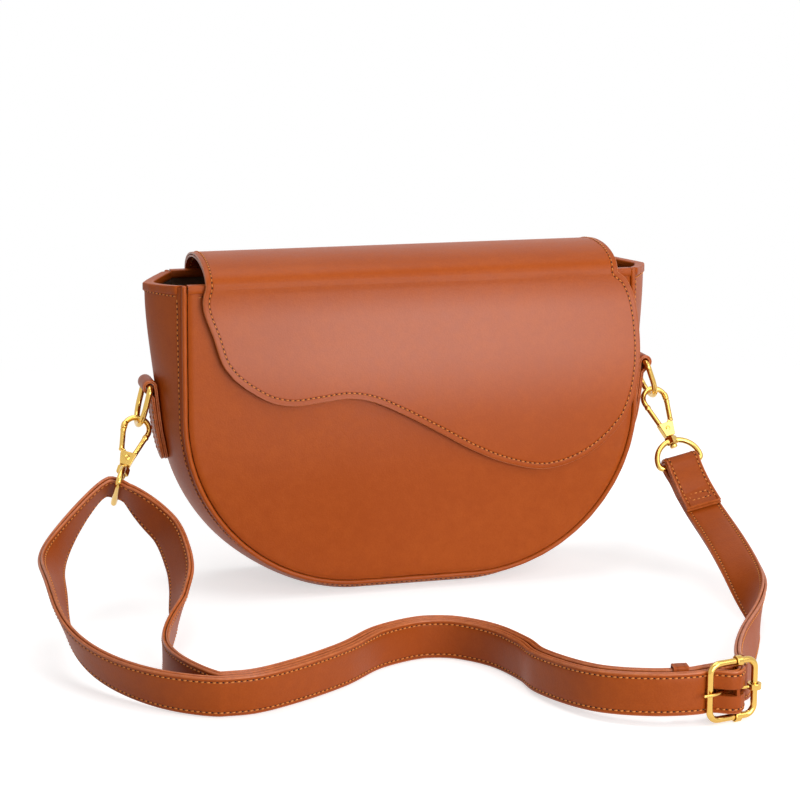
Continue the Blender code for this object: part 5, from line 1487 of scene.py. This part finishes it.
def corner_turns(steps):
    """For a rounded rectangle's line: the sides that each corner is on, and its turns."""
    for start, (a, b) in enumerate(((1, 1), (-1, 1), (-1, -1), (1, -1))):
        for k in range(steps + 1):
            yield a, b, math.pi / 2 * (start + k / steps)


def make_buckle(gold):
    line = []
    for side, level, turn in corner_turns(12):
        along = side * (BUCKLE_HALF_LENGTH - BUCKLE_CORNER) + BUCKLE_CORNER * math.cos(turn)
        up = level * (BUCKLE_HALF_HEIGHT - BUCKLE_CORNER) + BUCKLE_CORNER * math.sin(turn)
        line.append(in_buckle(along, 0.0, up))
    made = [(wire("buckle_wire", line, BUCKLE_WIRE, gold, closed=True, sides=24), "buckle_frame")]
    levels = (-BUCKLE_HALF_HEIGHT, BUCKLE_HALF_HEIGHT)
    solids = [skin(wire_sections([in_buckle(BAR_PLACE, BAR_OUT, up) for up in levels], BAR_RADIUS, 20))]
    eyes = [in_buckle(BAR_PLACE, 0.0, up) for up in levels]
    solids += [barrel(eye, BUCKLE_ALONG, BAR_EYE_RADIUS, BAR_EYE_LENGTH / 2) for eye in eyes]
    cuts = [barrel(eye, BUCKLE_ALONG, BUCKLE_BORE, BAR_EYE_LENGTH) for eye in eyes]
    made.append((cast("buckle_middle_bar", solids, cuts, gold, 0.00015, 2), "buckle_bar"))
    lay = BUCKLE_BORE + PRONG_RADIUS
    scales = [BUCKLE_HALF_LENGTH] * (len(PRONG_PLACES) - 3) + [lay] * 3
    points = [in_buckle(a * BUCKLE_HALF_LENGTH, out * scale) for (a, out), scale in zip(PRONG_PLACES, scales)]
    pivot = in_buckle(BUCKLE_HALF_LENGTH, 0.0)
    solids = [
        skin(wire_sections(smooth_line(points, 0.0008), PRONG_RADIUS, 16, ends=1.0)),
        barrel(pivot, UPWARD, BUCKLE_BORE + PRONG_RADIUS * 2, PRONG_EYE_LENGTH / 2),
    ]
    cuts = [barrel(pivot, UPWARD, BUCKLE_BORE, PRONG_EYE_LENGTH)]
    made.append((cast("buckle_pin", solids, cuts, gold, 0.00015, 2), "buckle_prong"))
    return made


def make_keeper(tan, edge):
    places = np.array([p for p, _ in layer(middle_run(), -1)])
    gone = walked(places)
    spots = [gone[-1] - KEEPER_SETBACK + d for d in (-KEEPER_LENGTH / 2, 0.0, KEEPER_LENGTH / 2)]
    low, centre, high = [np.array([np.interp(s, gone, places[:, i]) for i in range(3)]) for s in spots]
    along = unit(high - low)
    up = unit(UPWARD - along * along[2])
    out = np.cross(along, up)
    profile, flags = plied_profile(KEEPER_LENGTH / 2, 0.0, KEEPER_THICKNESS, 1, 0.0016, groove=0.00006)
    bend = 0.0003
    half_out = STRAP_HALF + KEEPER_CLEARANCE - bend
    half_up = STRAP_WIDTH / 2 + KEEPER_CLEARANCE - bend
    sections = []
    for side, level, turn in corner_turns(8):
        section = []
        for lengthwise, deep in profile:
            a = side * half_out + (bend + deep) * math.cos(turn)
            b = level * half_up + (bend + deep) * math.sin(turn)
            section.append(centre + along * lengthwise + out * a + up * b)
        sections.append(section)
    slots = flags * len(sections)
    return [(new_piece("keeper_band", *skin(sections, closed=True), (tan, edge), slots, sharp=60), "keeper")]


# Stitching.


def stitch_tree(thread, hole_shade):
    """Geometry nodes that set a stitch on every marked place, and ahead of it a flat near-black bead: painted
    shade that stands for the needle holes.
    """
    group = bpy.data.node_groups.new("stitch_row", "GeometryNodeTree")
    group.is_modifier = True
    face = group.interface
    face.new_socket("Places", in_out="INPUT", socket_type="NodeSocketGeometry")
    for label, value in (
        ("Stitch length", STITCH_LENGTH), ("Thread radius", THREAD_RADIUS), ("Hole shade radius", HOLE_SHADE_RADIUS),
        ("Slant", STITCH_SLANT), ("Unevenness", STITCH_UNEVENNESS),
    ):
        face.new_socket(label, in_out="INPUT", socket_type="NodeSocketFloat").default_value = value
    face.new_socket("Seed", in_out="INPUT", socket_type="NodeSocketInt").default_value = 7
    face.new_socket("Stitching", in_out="OUTPUT", socket_type="NodeSocketGeometry")
    t = Tree(group)
    given = t.node("NodeGroupInput")
    length, radius = given.out("Stitch length"), given.out("Thread radius")
    vector = {"data_type": "FLOAT_VECTOR"}
    along = t.node("GeometryNodeInputNamedAttribute", vector, {"Name": "along"})
    outward = t.node("GeometryNodeInputNamedAttribute", vector, {"Name": "outward"})
    turn = t.node("FunctionNodeAlignRotationToVector", {"axis": "X"}, {"Vector": along})
    settings = {"axis": "Z", "pivot_axis": "X"}
    turn = t.node("FunctionNodeAlignRotationToVector", settings, {"Rotation": turn, "Vector": outward})
    uneven = given.out("Unevenness")
    sockets = {2: 0.0 - uneven, 3: uneven, "Seed": given.out("Seed")}
    sway = t.node("FunctionNodeRandomValue", {"data_type": "FLOAT"}, sockets, output=1)
    sockets = {"Axis": (0.0, 0.0, 1.0), "Angle": given.out("Slant") + sway}
    slant = t.node("FunctionNodeAxisAngleToRotation", None, sockets)
    sockets = {"Rotation": turn, "Rotate By": slant}
    turn = t.node("FunctionNodeRotateRotation", {"rotation_space": "LOCAL"}, sockets)
    thread_size = t.node("ShaderNodeCombineXYZ", None, {0: length * 0.5, 1: radius, 2: radius * 0.9})
    # The second bead is near-black painted shade standing for the needle hole ahead of each stitch.
    hole_shade_radius = given.out("Hole shade radius")
    hole_shade_size = t.node("ShaderNodeCombineXYZ", None, {0: hole_shade_radius, 1: hole_shade_radius, 2: radius * 0.3})
    hole_shade_place = t.node("ShaderNodeCombineXYZ", None, {0: length * 0.5 + HOLE_SHADE_AHEAD, 1: 0.0, 2: 0.0})
    parts = []
    for look, size, place, count in (
        (thread, thread_size, (0.0, 0.0, THREAD_LIFT), 5), (hole_shade, hole_shade_size, hole_shade_place, 3),
    ):
        bead = t.node("GeometryNodeMeshUVSphere", None, {"Segments": 6, "Rings": count, "Radius": 1.0})
        bead = t.node("GeometryNodeTransform", None, {"Geometry": bead, "Translation": place, "Scale": size})
        sockets = {"Points": given, "Instance": bead, "Rotation": turn}
        set_out = t.node("GeometryNodeInstanceOnPoints", None, sockets)
        real = t.node("GeometryNodeRealizeInstances", None, {"Geometry": set_out})
        real = t.node("GeometryNodeSetShadeSmooth", None, {"Geometry": real})
        parts.append(t.node("GeometryNodeSetMaterial", None, {"Geometry": real, "Material": look}))
    join = t.node("GeometryNodeJoinGeometry")
    for part in parts:
        group.links.new(part.socket, join.socket.node.inputs[0])
    t.node("NodeGroupOutput", None, {"Stitching": join})
    return group


def needle_places(line, outward, trim=0.0):
    """Evenly spaced stitches along a line: their places, directions along, and directions outward."""
    line, outward = np.array(line, float), np.array(outward, float)
    gone = walked(line)
    usable = gone[-1] - 2 * trim
    count = max(int(usable / STITCH_PITCH), 1)
    spots = trim + (usable - count * STITCH_PITCH) / 2 + STITCH_PITCH * (np.arange(count) + 0.5)

    def at(where, rows):
        return np.stack([np.interp(where, gone, rows[:, i]) for i in range(3)], axis=1)

    ahead = at(spots + STITCH_PITCH * 0.3, line) - at(spots - STITCH_PITCH * 0.3, line)
    ahead /= np.linalg.norm(ahead, axis=1)[:, None]
    out = at(spots, outward)
    return at(spots, line), ahead, out / np.linalg.norm(out, axis=1)[:, None]


def sewn_line(spots, at, trim=0.0):
    """Stitches along a line of spots. The function gives the place of a spot and its direction outward."""
    return needle_places(*zip(*[at(*spot) for spot in spots]), trim=trim)


def stitching(name, rows, tree, body):
    """One mesh of all stitches of a body."""
    places, along, outward = (np.vstack([row[i] for row in rows]) for i in range(3))
    mesh = bpy.data.meshes.new(name)
    mesh.from_pydata([tuple(p) for p in places], [], [])
    for key, values in (("along", along), ("outward", outward)):
        attribute = mesh.attributes.new(key, "FLOAT_VECTOR", "POINT")
        attribute.data.foreach_set("vector", values.astype(np.float32).reshape(-1))
    obj = linked(name, mesh)
    modifier = obj.modifiers.new("stitches", "NODES")
    modifier.node_group = tree
    for item in tree.interface.items_tree:
        if item.item_type == "SOCKET" and item.in_out == "INPUT" and item.name == "Seed":
            modifier[item.identifier] = 11 + len(name)
    baked(obj)
    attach(obj, body)


def flap_rows():
    line = inset_outline(flap_outline(), FLAP_INSET)
    rows = []
    for offset, facing in ((FLAP_THICKNESS, 1), (0.0, -1)):

        def on_flap(x, drop):
            here = swelled_flap(x, drop, offset)
            return here, (swelled_flap(x, drop, offset + 0.001) - here) * facing

        rows.append(sewn_line(line, on_flap, trim=0.001))
    return rows


def on_gusset(station, y, mirror=1):
    """A stitch's place on the gusset and its direction outward, mirrored to the left side by -1."""
    step = 0.0008
    toward = gusset_place(station, y + step, 0.0, 1.0) - gusset_place(station, y - step, 0.0, 1.0)
    n = np.cross(toward, (-station[3], 0.0, station[2]))
    n = unit(n if n.dot((station[2], 0.0, station[3])) > 0 else -n)
    flip = np.array((mirror, 1.0, 1.0))
    return gusset_place(station, y, 0.0, 1.0) * flip, n * flip


def bag_rows():
    top = RIM_HEIGHT - BINDING_DEPTH - 0.0022
    reach = half_width(top)
    rows = []
    for side in (-1, 1):
        seam = seam_stations(top, **FINE)
        depths = [side * (half_depth(station[1]) - GUSSET_INSET) for station in seam]
        rows.append(sewn_line(zip(seam, depths), on_gusset))
        spots = [(x, top) for x in np.linspace(-reach + 0.006, reach - 0.006, 120)]

        def on_panel(x, z):
            return (x, side * (half_depth(z) + LEATHER + panel_relief(x, z)), z), (0.0, side, 0.0)

        rows.append(sewn_line(spots, on_panel))
    for side in (-1, 1):
        places = np.linspace(-RIM_HALF_DEPTH + 0.004, RIM_HALF_DEPTH - 0.004, 60)
        rows.append(sewn_line([((reach, top, 1.0, 0.0, 0.0), y, side) for y in places], on_gusset))
    out = FLAP_REACH - FLAP_INSET
    bottom = SEWN_BOTTOM + FLAP_INSET
    high = STRAIGHT_HEIGHT - BINDING_DEPTH - 0.001
    corners = [(-out, high), (-out, bottom), (out, bottom), (out, high)]

    def on_sewn_end(x, z):
        return (x, flap_depth(x, z) + FLAP_THICKNESS - SEWN_STEP, z), (0.0, 1.0, 0.0)

    for (xa, za), (xb, zb) in zip(corners, corners[1:]):
        rows.append(sewn_line([(mix(xa, xb, k / 80), mix(za, zb, k / 80)) for k in range(81)], on_sewn_end))
    return rows + tab_rows()


def tab_rows():
    """One stitch line along each edge of the outer leaf of each tab."""
    line, first = tab_line()
    leaf = np.array(line[first:])
    spots = [(x, z, t) for (x, z), t in zip(leaf, tangents(leaf)) if z >= TAB_TIP + TAB_INSET]
    rows = []
    for side in (-1, 1):
        for edge in (-1, 1):

            def on_tab(x, z, t):
                normal = np.array((t[1], 0.0, -t[0]))
                if normal[0] < 0:
                    normal = -normal
                across = edge * (tab_half(z - TAB_INSET * 0.6) - TAB_INSET)
                p = np.array((x, across, z)) + normal * TAB_THICKNESS / 2
                return (side * p[0], p[1], p[2]), (side * normal[0], 0.0, normal[2])

            rows.append(sewn_line(spots, on_tab))
    return rows


def strap_rows(rings):
    route = strap_route(rings)
    places = np.array([p for p, _ in route])
    outs = np.array(normals(route))
    widths = np.array([unit(w - line * line.dot(w)) for (_, w), line in zip(route, tangents(places))])
    inset_half = STRAP_WIDTH / 2 - STRAP_INSET
    rows = []
    for facing in (-1, 1):
        for edge in (-1, 1):
            line = places + widths * edge * inset_half + outs * facing * (STRAP_HALF - STITCH_GROOVE)
            rows.append(needle_places(line, outs * facing, trim=0.002))
    gone = walked(places)

    def on_fold(back, share):
        index = int(np.searchsorted(gone, back))
        spot = np.array([np.interp(back, gone, places[:, i]) for i in range(3)])
        spot += widths[0] * (inset_half - FOLD_ROW_SIDE_MARGIN) * share
        return spot - outs[index] * (STRAP_HALF - 0.0001), -outs[index]

    near, far = FOLD_ROWS
    corners = [(near, -1.0), (near, 1.0), (far, 1.0), (far, -1.0), (near, -1.0)]
    for (back_a, share_a), (back_b, share_b) in zip(corners, corners[1:]):
        spots = [(mix(back_a, back_b, k / 20), mix(share_a, share_b, k / 20)) for k in range(21)]
        rows.append(sewn_line(spots, on_fold))
    return rows


# Stage.


def seen_rays(tree, *kinds):
    """1 for rays of any of the kinds, else 0."""
    path = tree.node("ShaderNodeLightPath")
    seen = path.out(kinds[0])
    for kind in kinds[1:]:
        seen = tree.node("ShaderNodeMath", {"operation": "MAXIMUM"}, {0: seen, 1: path.out(kind)})
    return seen


def add_floor():
    """White paper that keeps the shadows near the bag and fades to plain white away from it."""
    r = 6.0
    mesh = bpy.data.meshes.new("floor")
    mesh.from_pydata([(-r, -r, 0.0), (r, -r, 0.0), (r, r, 0.0), (-r, r, 0.0)], [], [(0, 1, 2, 3)])
    floor = linked("floor", mesh)
    f = Finish("floor_paper")
    shown = seen_rays(f, "Is Camera Ray", "Is Glossy Ray")
    f.done(Base_Color=opaque((0.72,) * 3), Roughness=(0.9 + f.noise(40.0, 2.0) * 0.05).clamped())
    glow = f.node("ShaderNodeEmission", None, {"Color": WHITE, "Strength": shown * 0.60})
    near = f.node("ShaderNodeAddShader", None, {0: Link(f, f.shader.outputs[0]), 1: glow})
    white = f.node("ShaderNodeEmission", None, {"Color": WHITE, "Strength": 1.0})
    gone = f.node("ShaderNodeVectorMath", {"operation": "LENGTH"}, {0: f.place}, output="Value")
    far = f.node("ShaderNodeMixShader", None, {0: f.ramp(gone, 0.32, 0.75) * shown, 1: near, 2: white})
    f.nodes.links.new(far.socket, f.nodes.nodes["Material Output"].inputs["Surface"])
    mesh.materials.append(f.material)


def add_lights():
    for name, (place, size, power) in LIGHTS.items():
        lamp = bpy.data.lights.new(name, "AREA")
        lamp.shape = "RECTANGLE"
        lamp.size, lamp.size_y = size
        lamp.energy = power
        aim(linked(name, lamp), place, LIGHT_TARGET)


def aim(obj, place, toward):
    """Puts a lamp or the camera at a place, looking at another."""
    look = unit(np.array(toward) - np.array(place))
    right = unit(np.cross(look, (0.0, 0.0, 1.0)))
    up = np.cross(right, look)
    rows = [[right[i], up[i], -look[i], place[i]] for i in range(3)] + [[0.0, 0.0, 0.0, 1.0]]
    obj.matrix_world = Matrix(rows)


def add_camera():
    camera = bpy.data.cameras.new("camera")
    camera.sensor_width = 36.0
    camera.lens = CAMERA_LENS
    obj = linked("camera", camera)
    bpy.context.scene.camera = obj
    level = math.cos(CAMERA_RISE)
    back = np.array((math.sin(CAMERA_TURN) * level, -math.cos(CAMERA_TURN) * level, math.sin(CAMERA_RISE)))
    aim(obj, CAMERA_TARGET + back * CAMERA_DISTANCE, CAMERA_TARGET)


def add_world():
    """Full white where it is seen or reflected, and dim where it only lights."""
    world = bpy.data.worlds.new("studio")
    world.use_nodes = True
    bpy.context.scene.world = world
    t = Tree(world.node_tree)
    seen = seen_rays(t, "Is Camera Ray", "Is Glossy Ray", "Is Transmission Ray")
    background = world.node_tree.nodes["Background"]
    background.inputs["Color"].default_value = WHITE
    world.node_tree.links.new((seen * 0.80 + 0.20).socket, background.inputs["Strength"])


def main():
    bpy.context.scene.view_settings.view_transform = "Standard"
    tan_dyes = (0.365, 0.062, 0.003), (0.425, 0.080, 0.006)
    tan = leather_finish("smooth_tan_leather", *tan_dyes)
    flap_tan = leather_finish("flap_leather", *tan_dyes, polished=(0.096, 0.146, 0.162, 0.184))
    piping = leather_finish("piping_leather", (0.38, 0.068, 0.004), (0.45, 0.090, 0.010), 0.32, 0.6)
    inside = leather_finish("lining_leather", (0.29, 0.050, 0.003), (0.35, 0.066, 0.006), 0.50, 1.4)
    strap_tan = leather_finish("strap_leather", (0.31, 0.054, 0.003), (0.37, 0.070, 0.006), 0.42, 1.5)
    edge = edge_finish("painted_edge", (0.40, 0.088, 0.014), (0.52, 0.132, 0.028))
    cloth = cloth_finish("lining_cloth", (0.16, 0.075, 0.035))
    gold = gold_finish("gold_plating", (0.74, 0.47, 0.12), 0.16)
    thread = plain_finish("linen_thread", (0.62, 0.19, 0.03), (0.74, 0.26, 0.05), 0.6, 1800.0)
    # Near-black finish for the beads at the needle holes: painted shade.
    hole_shade = plain_finish("needle_hole_shade", (0.018, 0.006, 0.003), (0.03, 0.010, 0.004), 0.9, 900.0)
    board = plain_finish("fibre_board", (0.26, 0.20, 0.13), (0.34, 0.27, 0.18), 0.85, 300.0)
    steel = plain_finish("magnet_steel", (0.45, 0.45, 0.46), (0.58, 0.58, 0.60), 0.35, 200.0, 1.0)

    add_floor()
    add_world()
    add_camera()
    add_lights()

    slot_nodes = {
        "piping_leather": ("front_piping", "back_piping"), "lining_leather": ("flap_lining", "strap_lining"),
        "lining_cloth": ("lining_front", "lining_back", "lining_gusset"),
    }
    leather_slots = {node: slot for slot, nodes in slot_nodes.items() for node in nodes}
    made = make_body(tan, piping, inside, cloth) + make_bindings(tan) + make_flap(flap_tan, inside, edge)
    rings = {}
    gold_made = []
    for tag, side, ring_turn in (("left", -1, math.pi / 2), ("right", 1, 0.0)):
        made.append((make_tab("tab_leather_" + tag, side, tan, edge), "ring_tab_" + tag))
        gold_made.append((make_tab_ring("tab_loop_" + tag, side, gold), "tab_ring_" + tag))
        hook, rings[tag] = make_hook(tag, side, ring_turn, gold)
        gold_made += hook
    made += make_strap(rings, strap_tan, inside, edge) + make_keeper(strap_tan, edge)
    gold_made += make_buckle(gold)
    for piece, node in made + gold_made:
        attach(piece, BODY_OF[node])
        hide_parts(node)
        "gold_plate" if (piece, node) in gold_made else leather_slots.get(node, "tan_leather")
    for node, look in (
        ("front_stiffener", board), ("back_stiffener", board), ("base_board", board),
        ("panel_magnet", steel), ("flap_magnet", steel),
    ):
        for slot in frame["nodes"][node].material_slots:
            slot.material = look
    tree = stitch_tree(thread, hole_shade)
    stitching("stitching_bag", bag_rows(), tree, "bag")
    stitching("stitching_flap", flap_rows(), tree, "flap")
    stitching("stitching_strap", strap_rows(rings), tree, "strap")


main()
